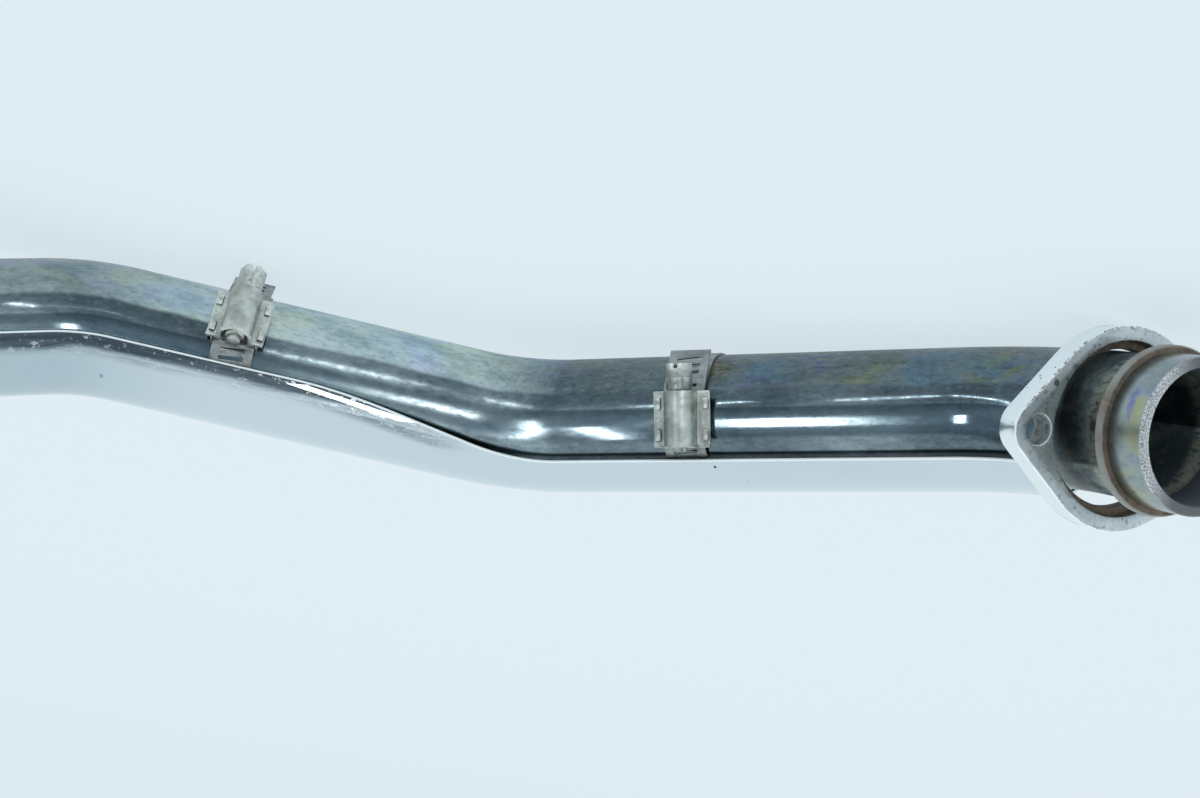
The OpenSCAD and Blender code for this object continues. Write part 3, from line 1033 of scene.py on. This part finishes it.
@dataclass(frozen=True)
class MirrorChrome:
    """Bright chrome on the shield, with a painted highlight on its rim, a painted dark reflection in a
    band beside it, and a few marks.

    The rim and the band are measured in degrees from the viewer's edge, and distances in millimetres
    from the mouth.
    """

    name: str = "mirror_chrome"
    painted_rim_highlight_edge: tuple[float, float] = (1.7, 1.1)
    painted_reflection_edge: tuple[float, float] = (21.0, 12.0)
    painted_reflection_start: tuple[float, float] = (262.0, 285.0)
    far_start: tuple[float, float] = (350.0, 420.0)
    bright: Color = (0.665, 0.735, 0.785)
    hazy: Color = (0.60, 0.675, 0.73)
    far: Color = (0.50, 0.58, 0.63)
    # Painted dark reflection in a band along the viewer's edge.
    worn: Color = (0.17, 0.21, 0.25)
    speck: Color = grey(0.85, 0.03)
    # Pale rim, made dull: a painted highlight along the edge.
    rim: Color = (0.90, 0.94, 0.94)
    inner: Color = (0.58, 0.61, 0.63)
    pit: Color = (0.05, 0.05, 0.06)
    blue_mark: Color = (0.08, 0.20, 0.48)
    pits: Pits = Pits(150, (0.10, 0.05), Grain(35, 2), (0.62, 0.68))
    pit_at: Mark = Mark((-9.7, 23.5, 170.1), 0.6)
    blue_at: Mark = Mark((-9.5, 23.6, 393.4), 1.1)

    def build(self, shield: "HeatShield") -> bpy.types.Material:
        """Paints the shield, with a painted highlight on the rim and a painted dark reflection along
        its edge.

        Args:
            shield: The shield, whose edge they follow.

        Returns:
            The material.
        """
        s = Sketch(self.name)
        wide = s.rise_mm(s.along, *shield.widening())
        edge = s.total(shield.front, (wide, shield.front_wide - shield.front))
        degrees = s.times(s.math("ARCTAN2", s.y, s.x), 180 / math.pi)
        from_edge = s.minus(edge, degrees)
        haze = s.rise(s.noise(Grain(14, 4, 0.6, 0.5)), 0.45, 0.75)
        color = s.mix(haze, self.bright, self.hazy)
        color = s.over(color, s.rise_mm(s.along, *self.far_start), self.far)
        streak = s.noise(Grain(150, 6, 0.7, 0.07, 0.3))
        fine = s.noise(Grain(620, 5, 0.72, 0.5))
        # A band beside the viewer's edge gets a painted dark reflection, broken into streaks, with pale
        # specks.
        band = s.times(s.rise(from_edge, *self.painted_reflection_edge), s.rise_mm(s.along, *self.painted_reflection_start))
        color = s.over(color, s.times(band, s.rise(streak, 0.36, 0.56)), self.worn, 0.8)
        speck = s.times(band, s.rise(fine, 0.56, 0.64))
        color = s.over(color, speck, self.speck, 0.75)
        pits = s.most(s.pits(self.pits), s.mark(self.pit_at))
        color = s.over(color, pits, self.pit)
        color = s.over(color, s.mark(self.blue_at), self.blue_mark, 0.6)
        # The rim is painted pale and dull: a painted highlight along the edge.
        rim = s.rise(from_edge, *self.painted_rim_highlight_edge)
        color = s.over(color, rim, self.rim)
        inside = s.rise_mm(s.radius(), shield.outer_r - 0.7, shield.outer_r - 0.9)
        color = s.over(color, inside, self.inner)
        rough = s.total(0.035, (haze, 0.05), (speck, 0.30), (s.most(pits, s.most(rim, inside)), 0.4))
        s.bump(s.noise(Grain(30)), 0.05, 0.25)
        return s.metal(color, rough, s.minus(1.0, s.most(s.times(rim, 0.8), inside)))


@dataclass(frozen=True)
class TurnedSteel:
    """Turned steel of the spigot, with heat tints, a rough lip with a painted highlight on one side,
    and a sooty bore.
    """

    name: str = "turned_steel"
    bore_r: float = 20.2
    lip_edge: tuple[float, float] = (1.4, 0.6)
    lit_side: tuple[float, float] = (-0.92, 0.39)
    lit_edge: tuple[float, float] = (6.0, 19.5)
    base: Color = (0.24, 0.29, 0.30)
    pale: Color = (0.36, 0.42, 0.43)
    straw: Color = (0.38, 0.38, 0.22)
    violet: Color = (0.30, 0.27, 0.52)
    deep_violet: Color = (0.10, 0.11, 0.46)
    smudge: Color = (0.13, 0.16, 0.15)
    soot: Color = (0.10, 0.112, 0.135)
    dot: Color = (0.05, 0.045, 0.04)
    lip_shade: Color = grey(0.13, 0.04)
    lip_lit: Color = grey(0.95, 0.02)
    lip_pit: Color = grey(0.16, 0.04)
    dots: Pits = Pits(190, (0.14, 0.06), Grain(60, 2), (0.55, 0.62))
    violet_at: Mark = Mark((-23.0, 4.4, 7.0), 9.0, 0.8)
    yellow_at: Mark = Mark((-22.6, 6.2, 3.8), 13.0, 0.7)
    smudge_at: Mark = Mark((-20.8, 10.8, 7.0), 3.4, 0.9)

    def build(self) -> bpy.types.Material:
        """Paints the spigot from its outside to its lip and its bore.

        Returns:
            The material.
        """
        s = Sketch(self.name)
        blotch = s.noise(Grain(70, 5, 0.6, 0.8, 0.8))
        fine = s.noise(Grain(330, 6, 0.72, 0.7))
        both = s.plus(s.times(blotch, 0.5), s.times(fine, 0.5))
        color = s.mix(s.rise(both, 0.40, 0.60), self.base, self.pale)
        patch = s.noise(Grain(28, 2))
        straw = s.times(s.rise(blotch, 0.50, 0.58), s.rise(patch, 0.40, 0.50))
        violet = s.times(s.rise(blotch, 0.49, 0.41), s.rise(patch, 0.42, 0.52))
        color = s.over(color, straw, self.straw, 0.55)
        color = s.over(color, violet, self.violet, 0.4)
        violet_line = s.times(self.line(s, self.violet_at, 2.4), s.rise(blotch, 0.70, 0.42))
        yellow_line = s.times(self.line(s, self.yellow_at, 1.5), s.rise(blotch, 0.40, 0.62))
        color = s.over(color, violet_line, self.deep_violet)
        color = s.over(color, yellow_line, self.straw)
        smudge = s.times(s.mark(self.smudge_at), s.rise(blotch, 0.66, 0.44))
        color = s.over(color, smudge, self.smudge, 0.8)
        lip = s.rise_mm(s.along, *self.lip_edge)
        grain = s.noise(Grain(2300, 4, 0.7))
        # Painted highlight on the lip: pale on one side and dark on the others, by the direction about
        # the axis.
        lit = s.plus(s.times(s.x, self.lit_side[0]), s.times(s.y, self.lit_side[1]))
        painted_lip_light = s.mix(s.rise_mm(lit, *self.lit_edge), self.lip_shade, self.lip_lit)
        color = s.over(color, lip, s.over(painted_lip_light, s.rise(grain, 0.66, 0.36), self.lip_pit))
        color = s.over(color, s.pits(self.dots), self.dot, 0.8)
        inside = s.rise_mm(s.radius(), self.bore_r + 0.55, self.bore_r + 0.15)
        color = s.over(color, inside, self.soot)
        relief = s.plus(s.times(grain, lip), s.times(s.noise(Grain(260, 4)), 0.15))
        s.bump(relief, 0.08, 0.8)
        dull = s.most(inside, s.times(lip, 0.5))
        return s.metal(color, s.total(0.30, (inside, 0.5)), s.minus(1.0, dull))

    def line(self, s: Sketch, mark: Mark, half: float) -> bpy.types.NodeSocket:
        """Narrows a mark to a soft line round the spigot.

        Args:
            s: The material under construction.
            mark: The mark.
            half: Half the line's width, in millimetres.

        Returns:
            1 on the line inside the mark and 0 outside.
        """
        off = s.math("ABSOLUTE", s.minus(s.along, mark.place[2] * MM))
        return s.times(s.mark(mark), s.rise_mm(off, half, half * 0.2))


@dataclass(frozen=True)
class RustedRing:
    """Brown rust on the retaining ring, greyer on its rim."""

    name: str = "rusted_ring"
    rust: Color = (0.31, 0.245, 0.195)
    deep: Color = (0.16, 0.125, 0.10)
    rim: Color = (0.33, 0.335, 0.325)
    rim_r: float = 25.0

    def build(self) -> bpy.types.Material:
        """Paints rust, and the worn rim over it.

        Returns:
            The material.
        """
        s = Sketch(self.name)
        grain = s.noise(Grain(240, 5, 0.65))
        color = s.mix(s.rise(grain, 0.35, 0.68), self.rust, self.deep)
        worn = s.times(s.rise_mm(s.radius(), self.rim_r, self.rim_r + 0.5),
                       s.rise(s.noise(Grain(60)), 0.34, 0.56))
        color = s.over(color, worn, self.rim)
        s.bump(grain, 0.12, 0.8)
        return s.metal(color, s.total(0.52, (grain, 0.2)), 0.65)


@dataclass(frozen=True)
class WornPlate:
    """Worn bright plating on the flange, speckled on its face and rusty in its hole."""

    name: str = "worn_plate"
    hole_r: float = 27.1
    bolt_r: float = 4.6
    bolt_at: tuple[float, float] = (-28.58, 16.5)
    scuff_slant: float = 1.73
    side: Color = (0.84, 0.89, 0.91)
    face: Color = (0.62, 0.67, 0.69)
    clean: Color = (0.86, 0.90, 0.92)
    worn_edge: Color = grey(0.95, 0.01)
    scuffed: Color = grey(0.30, 0.05)
    speck: Color = (0.13, 0.14, 0.14)
    rust: Color = (0.26, 0.20, 0.15)
    deep_rust: Color = (0.12, 0.09, 0.07)
    bolt_wall: Color = (0.27, 0.30, 0.30)
    pits: Pits = Pits(420, (0.22, 0.08), Grain(110), (0.52, 0.60))
    pit_at: Mark = Mark((-30.8, 1.6, 0.0), 1.3)
    scuff_at: Mark = Mark((-40.8, 23.4, 4.0), 5.5)

    def build(self) -> bpy.types.Material:
        """Paints the side, the face, the rounded edge and the holes.

        Returns:
            The material.
        """
        s = Sketch(self.name)
        on_face = s.rise_mm(s.along, 0.35, 0.15)
        rounded = s.times(s.rise_mm(s.along, 0.02, 0.15), s.rise_mm(s.along, 0.62, 0.45))
        grain = s.noise(Grain(420, 6, 0.74))
        grime = s.rise(s.noise(Grain(75, 5, 0.64)), 0.40, 0.62)
        face = s.mix(s.times(grime, 0.7), self.face, self.clean)
        face = s.over(face, s.rise(grain, 0.52, 0.66), self.speck, 0.7)
        color = s.mix(on_face, self.side, face)
        worn = s.times(rounded, s.rise(s.noise(Grain(260)), 0.62, 0.46))
        color = s.over(color, worn, self.worn_edge)
        pits = s.most(self.notches(s, rounded), s.most(s.pits(self.pits), s.mark(self.pit_at)))
        color = s.over(color, pits, self.speck, 0.85)
        slant = s.plus(s.x, s.times(s.y, self.scuff_slant))
        scuff = s.times(s.mark(self.scuff_at), s.rise_mm(slant, -0.6, 0.2))
        color = s.over(color, scuff, self.scuffed, 0.5)
        wall = s.times(s.rise_mm(s.radius(), self.hole_r + 0.30, self.hole_r + 0.10),
                       s.rise_mm(s.along, 0.1, 0.5))
        color = s.over(color, wall, s.mix(s.rise(grain, 0.35, 0.7), self.rust, self.deep_rust))
        near = s.math("MINIMUM", s.radius(self.bolt_at), s.radius((-self.bolt_at[0], -self.bolt_at[1])))
        bolt = s.times(s.rise_mm(near, self.bolt_r + 0.35, self.bolt_r + 0.15),
                       s.rise_mm(s.along, 0.1, 0.4))
        color = s.over(color, bolt, s.mix(s.rise(grain, 0.50, 0.60), self.bolt_wall, self.speck))
        inner = s.most(wall, bolt)
        rough = s.total(0.20, (s.most(on_face, rounded), 0.26), (inner, 0.40))
        s.bump(s.minus(s.times(grain, 0.25), pits), 0.10, 0.8)
        # Painted highlight: the rounded edge far out along y is made dull, so its pale colour shows as
        # a bright line.
        painted_highlight_edge = s.times(rounded, s.rise_mm(s.y, 13, 18))
        dull = s.most(s.times(inner, 0.7), s.times(painted_highlight_edge, 0.9))
        return s.metal(color, rough, s.minus(1.0, dull))

    def notches(self, s: Sketch, rounded: object) -> bpy.types.NodeSocket:
        """Scatters dark notches over the upper part of the rounded edge.

        Args:
            s: The material under construction.
            rounded: The share of the rounded edge.

        Returns:
            The share of the notches.
        """
        ragged = s.total(s.y, (s.noise(Grain(500)), 4 * MM))
        upper = s.times(rounded, s.rise_mm(ragged, 16, 12))
        return s.times(upper, s.rise(s.noise(Grain(700, 2, 0.5)), 0.46, 0.54))


@dataclass(frozen=True)
class DullZinc:
    """Dull satin plating on the clamps, pitted and a little warm, with painted shade in its recesses
    and a painted highlight on its worn edges.
    """

    name: str = "dull_zinc"
    base: Color = (0.40, 0.42, 0.385)
    bright: Color = (0.66, 0.69, 0.65)
    # Dark colour of the grain and the pits, and of the painted shade in recesses.
    dark: Color = (0.08, 0.08, 0.07)
    rough: float = 0.30
    edge: Color = (0.88, 0.90, 0.86)
    pits: Pits = Pits(900, (0.22, 0.08), Grain(230, 2), (0.52, 0.60))
    # Reach of the painted shade in recesses, in millimetres.
    painted_shade_reach: float = 1.6

    def build(self) -> bpy.types.Material:
        """Paints the plating, its pits, painted shade in its recesses, and its worn edges with a
        painted highlight.

        Returns:
            The material.
        """
        s = Sketch(self.name)
        grain = s.noise(Grain(520, 5, 0.68))
        cloud = s.noise(Grain(150, 4, 0.6))
        color = s.mix(s.rise(cloud, 0.36, 0.66), self.base, self.bright)
        color = s.over(color, s.rise(grain, 0.56, 0.74), self.dark, 0.6)
        pits = s.pits(self.pits)
        color = s.over(color, pits, self.dark)
        # Painted shade: the colour darkens where ambient occlusion finds a recess.
        near = s.nodes.new("ShaderNodeAmbientOcclusion")
        near.inputs["Distance"].default_value = self.painted_shade_reach * MM
        near.samples = 8
        color = s.over(color, s.rise(near.outputs["AO"], 0.80, 0.30), self.dark, 0.8)
        # Pale on sharp edges, broken by the grain: edge wear with a painted highlight.
        point = s.nodes.new("ShaderNodeNewGeometry").outputs["Pointiness"]
        worn = s.times(s.rise(point, 0.52, 0.60), s.rise(grain, 0.62, 0.42))
        color = s.over(color, worn, self.edge, 0.5)
        s.bump(s.minus(s.times(grain, 0.4), pits), 0.05, 0.8)
        return s.metal(color, s.total(self.rough, (grain, 0.15)))


# Pieces

@dataclass
class HeaderPipe:
    """The bent pipe, with its flare at the port end."""

    od: float = 44.45
    wall: float = 1.65
    spigot_len: float = 17.0
    spigot_od: float = 46.8
    flare_len: float = 6.0
    flare_steps: int = 6
    run_step: float = 12.0
    steps: int = 160
    edge: float = 0.25

    def build(self, material: bpy.types.Material) -> None:
        """Sweeps the wall from the spigot to the outlet.

        Args:
            material: The pipe's finish.
        """
        marks = set(ROUTE.stations(self.spigot_len, ROUTE.length, self.run_step, BEND_STEP))
        marks |= {self.spigot_len + self.flare_len * i / self.flare_steps
                  for i in range(1, self.flare_steps + 1)}
        rings = []
        for mark in sorted(marks):
            share = max(0.0, 1 - (mark - self.spigot_len) / self.flare_len)
            girth = self.od / 2 + (self.spigot_od - self.od) / 2 * share
            rings.append(Ring(ROUTE.at(mark), girth, mark))
        pipe = SweptWall("pipe", rings, Section.CLOSED, self.steps, material,
                         self.wall, self.edge).build()
        hand_over(pipe, Body.HEADER, "pipe_chrome",
                  "header_pipe", "header_pipe_port", "header_pipe_outlet")


@dataclass
class HeatShield:
    """The half-round shield that follows the pipe, with the sweep of its viewer's edge."""

    outer_r: float = 25.4
    thickness: float = 1.0
    back: float = -28.0
    front: float = 119.0
    front_wide: float = 147.0
    edge_blend: float = 60.0
    port_turn: float = 28.0
    outlet_gap: float = 50.0
    run_step: float = 6.0
    steps: int = 120
    edge: float = 0.3

    def widening(self) -> tuple[float, float]:
        """Returns the distances from the mouth between which the viewer's edge moves outwards."""
        bend = ROUTE.legs[Stretch.MID_BEND]
        return bend.begin, bend.begin + bend.length + self.edge_blend

    def last_angle(self, mark: float) -> float:
        """Returns the angle of the viewer's edge at a distance from the mouth."""
        share = smooth_step(*self.widening(), mark)
        return self.front + (self.front_wide - self.front) * share

    def build(self, material: bpy.types.Material) -> None:
        """Sweeps the sheet and rounds its edges.

        Args:
            material: The shield's finish.
        """
        port_bend = ROUTE.legs[Stretch.PORT_BEND]
        start = port_bend.begin + port_bend.length * (1 - self.port_turn / ROUTE.port_bend)
        marks = ROUTE.stations(start, ROUTE.length - self.outlet_gap, self.run_step, BEND_STEP)
        rings = [Ring(ROUTE.at(m), self.outer_r, m, self.back, self.last_angle(m)) for m in marks]
        shield = SweptWall("shield", rings, Section.OPEN, self.steps, material,
                           self.thickness, self.edge).build()
        hand_over(shield, Body.HEADER, "shield_chrome", "heat_shield")


@dataclass
class PortEnd:
    """The turned spigot and the retaining ring on it."""

    spigot_od: float = 46.8
    bore: float = 40.4
    length: float = 17.0
    lip_round: float = 0.85
    bore_round: float = 0.7
    round_steps: int = 6
    outside_mark: float = 5.0
    bore_mark: float = 8.0
    ring_od: float = 51.4
    ring_t: float = 3.2
    ring_chamfer: float = 0.6
    seat: float = 0.7
    fit: float = 0.05
    steps: int = 160
    edge: float = 0.15

    def turned(self, name: str, profile: Sequence[tuple[float, float]],
               material: bpy.types.Material) -> bpy.types.Object:
        """Turns a profile about the mouth's axis.

        Args:
            name: Name of the piece.
            profile: Radius and distance from the mouth of each point.
            material: The piece's finish.

        Returns:
            The piece.
        """
        rings = [Ring(ROUTE.at(0) @ Matrix.Translation((0, 0, z)), r, z) for r, z in profile]
        return SweptWall(name, rings, Section.CLOSED, self.steps, material,
                         edge=self.edge, loop=True).build()

    def build(self, steel: bpy.types.Material, rust: bpy.types.Material) -> None:
        """Builds both turned pieces.

        Args:
            steel: The spigot's finish.
            rust: The ring's finish.
        """
        r, bore, back = self.spigot_od / 2, self.bore / 2, self.length - self.ring_t
        angles = [math.pi / 2 * i / self.round_steps for i in range(self.round_steps + 1)]
        lip = [(r - self.lip_round + self.lip_round * math.sin(a),
                self.lip_round - self.lip_round * math.cos(a)) for a in angles]
        lip_in = [(bore + self.bore_round - self.bore_round * math.sin(a),
                   self.bore_round - self.bore_round * math.cos(a)) for a in reversed(angles)]
        seat_r, seat_z = r - self.seat, back - self.fit
        body = [*lip_in, *lip, (r, self.outside_mark), (r, seat_z), (seat_r, seat_z),
                (seat_r, self.length), (bore, self.length), (bore, self.bore_mark)]
        spigot = self.turned("spigot", body, steel)
        hand_over(spigot, Body.HEADER, "spigot_steel", "port_spigot")
        inner, outer, chamfer = seat_r + self.fit, self.ring_od / 2, self.ring_chamfer
        z0, z1 = back, self.length - self.fit
        ring = self.turned("retaining_ring_dressed", [
            (inner, z0), (outer - chamfer, z0), (outer, z0 + chamfer), (outer, z1 - chamfer),
            (outer - chamfer, z1), (inner, z1)], rust)
        hand_over(ring, Body.HEADER, "rusted_ring", "retaining_ring")


@dataclass
class DressedNode:
    """A copy of a CAD node with welded vertices, softened edges and its own bench frame."""

    node: str
    bench_frame: Matrix
    material: bpy.types.Material
    slot: str
    edge: float
    body: Body = Body.HEADER
    segments: int = 2
    weld: float = 1e-6
    flat_angle: float = 0.4
    sharp_angle: float = 32.0

    def build(self) -> None:
        """Makes the dressed copy, which replaces the node."""
        mesh = frame["nodes"][self.node].data.copy()
        work = bmesh.new()
        work.from_mesh(mesh)
        bmesh.ops.remove_doubles(work, verts=work.verts, dist=self.weld)
        bmesh.ops.dissolve_limit(
            work, angle_limit=math.radians(self.flat_angle), verts=work.verts, edges=work.edges)
        work.to_mesh(mesh)
        work.free()
        for layer in list(mesh.attributes):
            if layer.name.startswith(("custom_normal", "sharp")):
                mesh.attributes.remove(layer)
        mesh.materials.clear()
        mesh.materials.append(self.material)
        made = add_object(self.node + "_dressed", mesh)
        round_edges(made, self.edge, self.segments, self.sharp_angle)
        made = plain_copy(made, self.node + "_dressed")
        soften(made.data)
        store_bench(made.data, self.bench_frame)
        hand_over(made, self.body, self.slot, self.node)


@dataclass
class PortFlange:
    """The loose two-bolt flange."""

    back: float = 31.8
    drop: float = 1.65
    drop_side: float = 75.0
    edge: float = 0.55
    segments: int = 3

    def build(self, material: bpy.types.Material) -> None:
        """Dresses the flange.

        Args:
            material: The flange's finish.
        """
        side = math.radians(self.drop_side)
        seat = ROUTE.at(0) @ Matrix.Translation(
            (self.drop * math.cos(side), self.drop * math.sin(side), self.back))
        DressedNode("port_flange", seat, material, "flange_plate", self.edge,
                    Body.FLANGE, self.segments).build()


@dataclass
class WormClamp:
    """One worm-drive clamp with the clip that its band runs through."""

    number: int
    at: float
    angle: float

    def build(self, zinc: bpy.types.Material, band: bpy.types.Material,
              sheet: bpy.types.Material) -> None:
        """Dresses the clamp's five pieces.

        Args:
            zinc: Finish of the saddle, the housing and the screw.
            band: Finish of the band.
            sheet: Finish of the clip.
        """
        home = ROUTE.at(self.at) @ Matrix.Rotation(math.radians(self.angle), 4, "Z")
        for stem, material, slot, edge in (
                ("clip", sheet, "clip_steel", 0.12), ("band", band, "clamp_band", 0.08),
                ("saddle", zinc, "clamp_body", 0.16), ("housing", zinc, "clamp_body", 0.20),
                ("worm_screw", zinc, "worm_steel", 0.14)):
            DressedNode(f"{stem}_{self.number}", home, material, slot, edge).build()


# Studio

@dataclass(frozen=True)
class Panel:
    """One rectangular light, in metres.

    Its ends are the middles of its two short sides, and aim is the point that it faces. Its glow is its
    brightness, where the world's is about 1.
    """

    name: str
    ends: tuple[Point, Point]
    aim: Point
    height: float
    glow: float
    mirror_only: bool = True
    mirrored: bool = True

    def hang(self) -> None:
        """Adds the light to the scene."""
        start, end = (Vector(point) for point in self.ends)
        middle = (start + end) / 2
        across = (end - start).normalized()
        back = middle - Vector(self.aim)
        back = (back - across * back.dot(across)).normalized()
        data = bpy.data.lights.new(self.name, "AREA")
        data.shape = "RECTANGLE"
        data.size, data.size_y = (end - start).length, self.height
        data.energy = PANEL_POWER * self.glow * data.size * data.size_y
        made = add_object(self.name, data)
        turn = Matrix((across, back.cross(across), back)).transposed().to_4x4()
        made.matrix_world = Matrix.Translation(middle) @ turn
        made.visible_camera = False
        made.visible_diffuse = not self.mirror_only
        made.visible_glossy = self.mirrored


LONG_RUN_MIDDLE = (-0.115, 0.068, 0.034)
SHORT_RUN_MIDDLE = (0.035, 0.035, 0.029)
PANELS = (
    Panel("overhead", ((1.2, 0.5, 1.8), (-1.0, 0.5, 1.8)), (0, 0, 0), 1.6, 0.6, False, False),
    Panel("window", ((0.135, -0.69, 0.44), (0.035, -0.71, 0.44)), LONG_RUN_MIDDLE, 0.20, 5),
    Panel("side_window", ((-0.38, -0.66, 0.41), (-0.45, -0.61, 0.41)), SHORT_RUN_MIDDLE, 0.14, 4),
    Panel("strip", ((-0.114, -0.018, 0.014), (-0.151, -0.018, 0.005)),
          (-0.15, 0.066, 0.025), 0.0022, 14),
    Panel("side_strip", ((-0.004, -0.104, 0.018), (-0.066, -0.066, 0.006)),
          SHORT_RUN_MIDDLE, 0.004, 12),
    Panel("end_strip", ((0.083, -0.086, 0.006), (0.072, -0.080, 0.015)),
          (0.12, -0.018, 0.030), 0.003, 10),
    Panel("lip_strip", ((0.007, -0.057, 0.115), (-0.018, -0.006, 0.146)),
          (0.029, 0.038, 0.041), 0.012, 4))


@dataclass
class Studio:
    """A pale floor, soft light, a dark side for the chrome to mirror, and the camera."""

    camera_at: Point = (-0.26173, -0.43565, 0.20413)
    azimuth: float = 22.785
    elevation: float = 17.925
    roll: float = 171.085
    lens: float = 50.0
    sensor: float = 36.0
    clip: tuple[float, float] = (0.01, 100.0)
    floor_half: float = 14.0
    floor_color: Color = (0.14, 0.14, 0.14)
    floor_glow: Color = (0.61, 0.70, 0.75)
    sky: Color = (0.86, 0.965, 1.0)
    dark: Color = (0.20, 0.255, 0.29)
    dark_towards: tuple[float, float] = (0.10, -0.30)
    dark_below: tuple[float, float] = (0.86, 0.74)
    sky_strength: float = 0.92

    def camera(self) -> None:
        """Places the camera by its azimuth, elevation and roll."""
        az, el, roll = (math.radians(v) for v in (self.azimuth, self.elevation, self.roll))
        ahead = Vector((math.sin(az) * math.cos(el), math.cos(az) * math.cos(el), -math.sin(el)))
        right = ahead.cross(Vector((0, 0, 1))).normalized()
        up = right.cross(ahead)
        top = up * math.cos(roll) + right * math.sin(roll)
        across = ahead.cross(top)
        turn = Matrix((across, top, -ahead)).transposed().to_4x4()
        data = bpy.data.cameras.new("camera")
        data.lens = self.lens
        data.sensor_width = self.sensor
        data.clip_start, data.clip_end = self.clip
        made = add_object("camera", data)
        made.matrix_world = Matrix.Translation(self.camera_at) @ turn
        bpy.context.scene.camera = made

    def floor(self) -> None:
        """Lays the plain pale floor."""
        half = self.floor_half
        mesh = bpy.data.meshes.new("floor")
        mesh.from_pydata([(-half, -half, 0), (half, -half, 0), (half, half, 0), (-half, half, 0)],
                         [], [(0, 1, 2, 3)])
        made = add_object("floor", mesh)
        material = bpy.data.materials.new("floor")
        material.use_nodes = True
        shader = material.node_tree.nodes["Principled BSDF"]
        for key, value in (("Base Color", (*self.floor_color, 1.0)), ("Roughness", 1.0),
                           ("Specular IOR Level", 0.0), ("Emission Color", (*self.floor_glow, 1.0)),
                           ("Emission Strength", 1.0)):
            shader.inputs[key].default_value = value
        mesh.materials.append(material)

    def world(self) -> None:
        """Lights from all round, with a dark side behind the camera that only mirrors show."""
        world = bpy.data.worlds.new("studio")
        world.use_nodes = True
        bpy.context.scene.world = world
        tree = ShaderTree(world.node_tree)
        background = tree.nodes["Background"]
        _, ahead, up = tree.parts(tree.nodes.new("ShaderNodeTexCoord").outputs["Generated"])
        towards = tree.rise(ahead, *self.dark_towards)
        low = tree.rise(up, *self.dark_below)
        mirrored = tree.nodes.new("ShaderNodeLightPath").outputs["Is Glossy Ray"]
        share = tree.times(tree.times(towards, low), mirrored)
        tree.put(background.inputs["Color"], tree.mix(share, self.sky, self.dark))
        background.inputs["Strength"].default_value = self.sky_strength

    def build(self) -> None:
        """Sets up the whole studio."""
        self.camera()
        self.floor()
        self.world()
        for panel in PANELS:
            panel.hang()
        bpy.context.scene.view_settings.view_transform = "Standard"


BAND_STEEL = DullZinc("band_steel", (0.23, 0.25, 0.25), (0.38, 0.405, 0.40), (0.06, 0.06, 0.06),
                      0.36, (0.48, 0.50, 0.49))
DULL_SHEET = DullZinc("dull_sheet", (0.26, 0.27, 0.27), (0.38, 0.40, 0.40), (0.08, 0.08, 0.08),
                      0.42, (0.50, 0.52, 0.52))


def main() -> None:
    """Builds the studio and every sub-assembly."""
    logging.basicConfig(level=logging.INFO, format="%(message)s")
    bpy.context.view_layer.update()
    Studio().build()
    HeaderPipe().build(TintedChrome().build())
    shield = HeatShield()
    shield.build(MirrorChrome().build(shield))
    PortEnd().build(TurnedSteel().build(), RustedRing().build())
    PortFlange().build(WornPlate().build())
    zinc, band, sheet = DullZinc().build(), BAND_STEEL.build(), DULL_SHEET.build()
    long_run, short_run = ROUTE.legs[Stretch.LONG_RUN], ROUTE.legs[Stretch.SHORT_RUN]
    for number, leg, at, angle in ((1, long_run, 87.0, 152.0), (2, short_run, 83.0, 185.0)):
        WormClamp(number, leg.begin + at, angle).build(zinc, band, sheet)


if __name__ == "__main__":
    main()
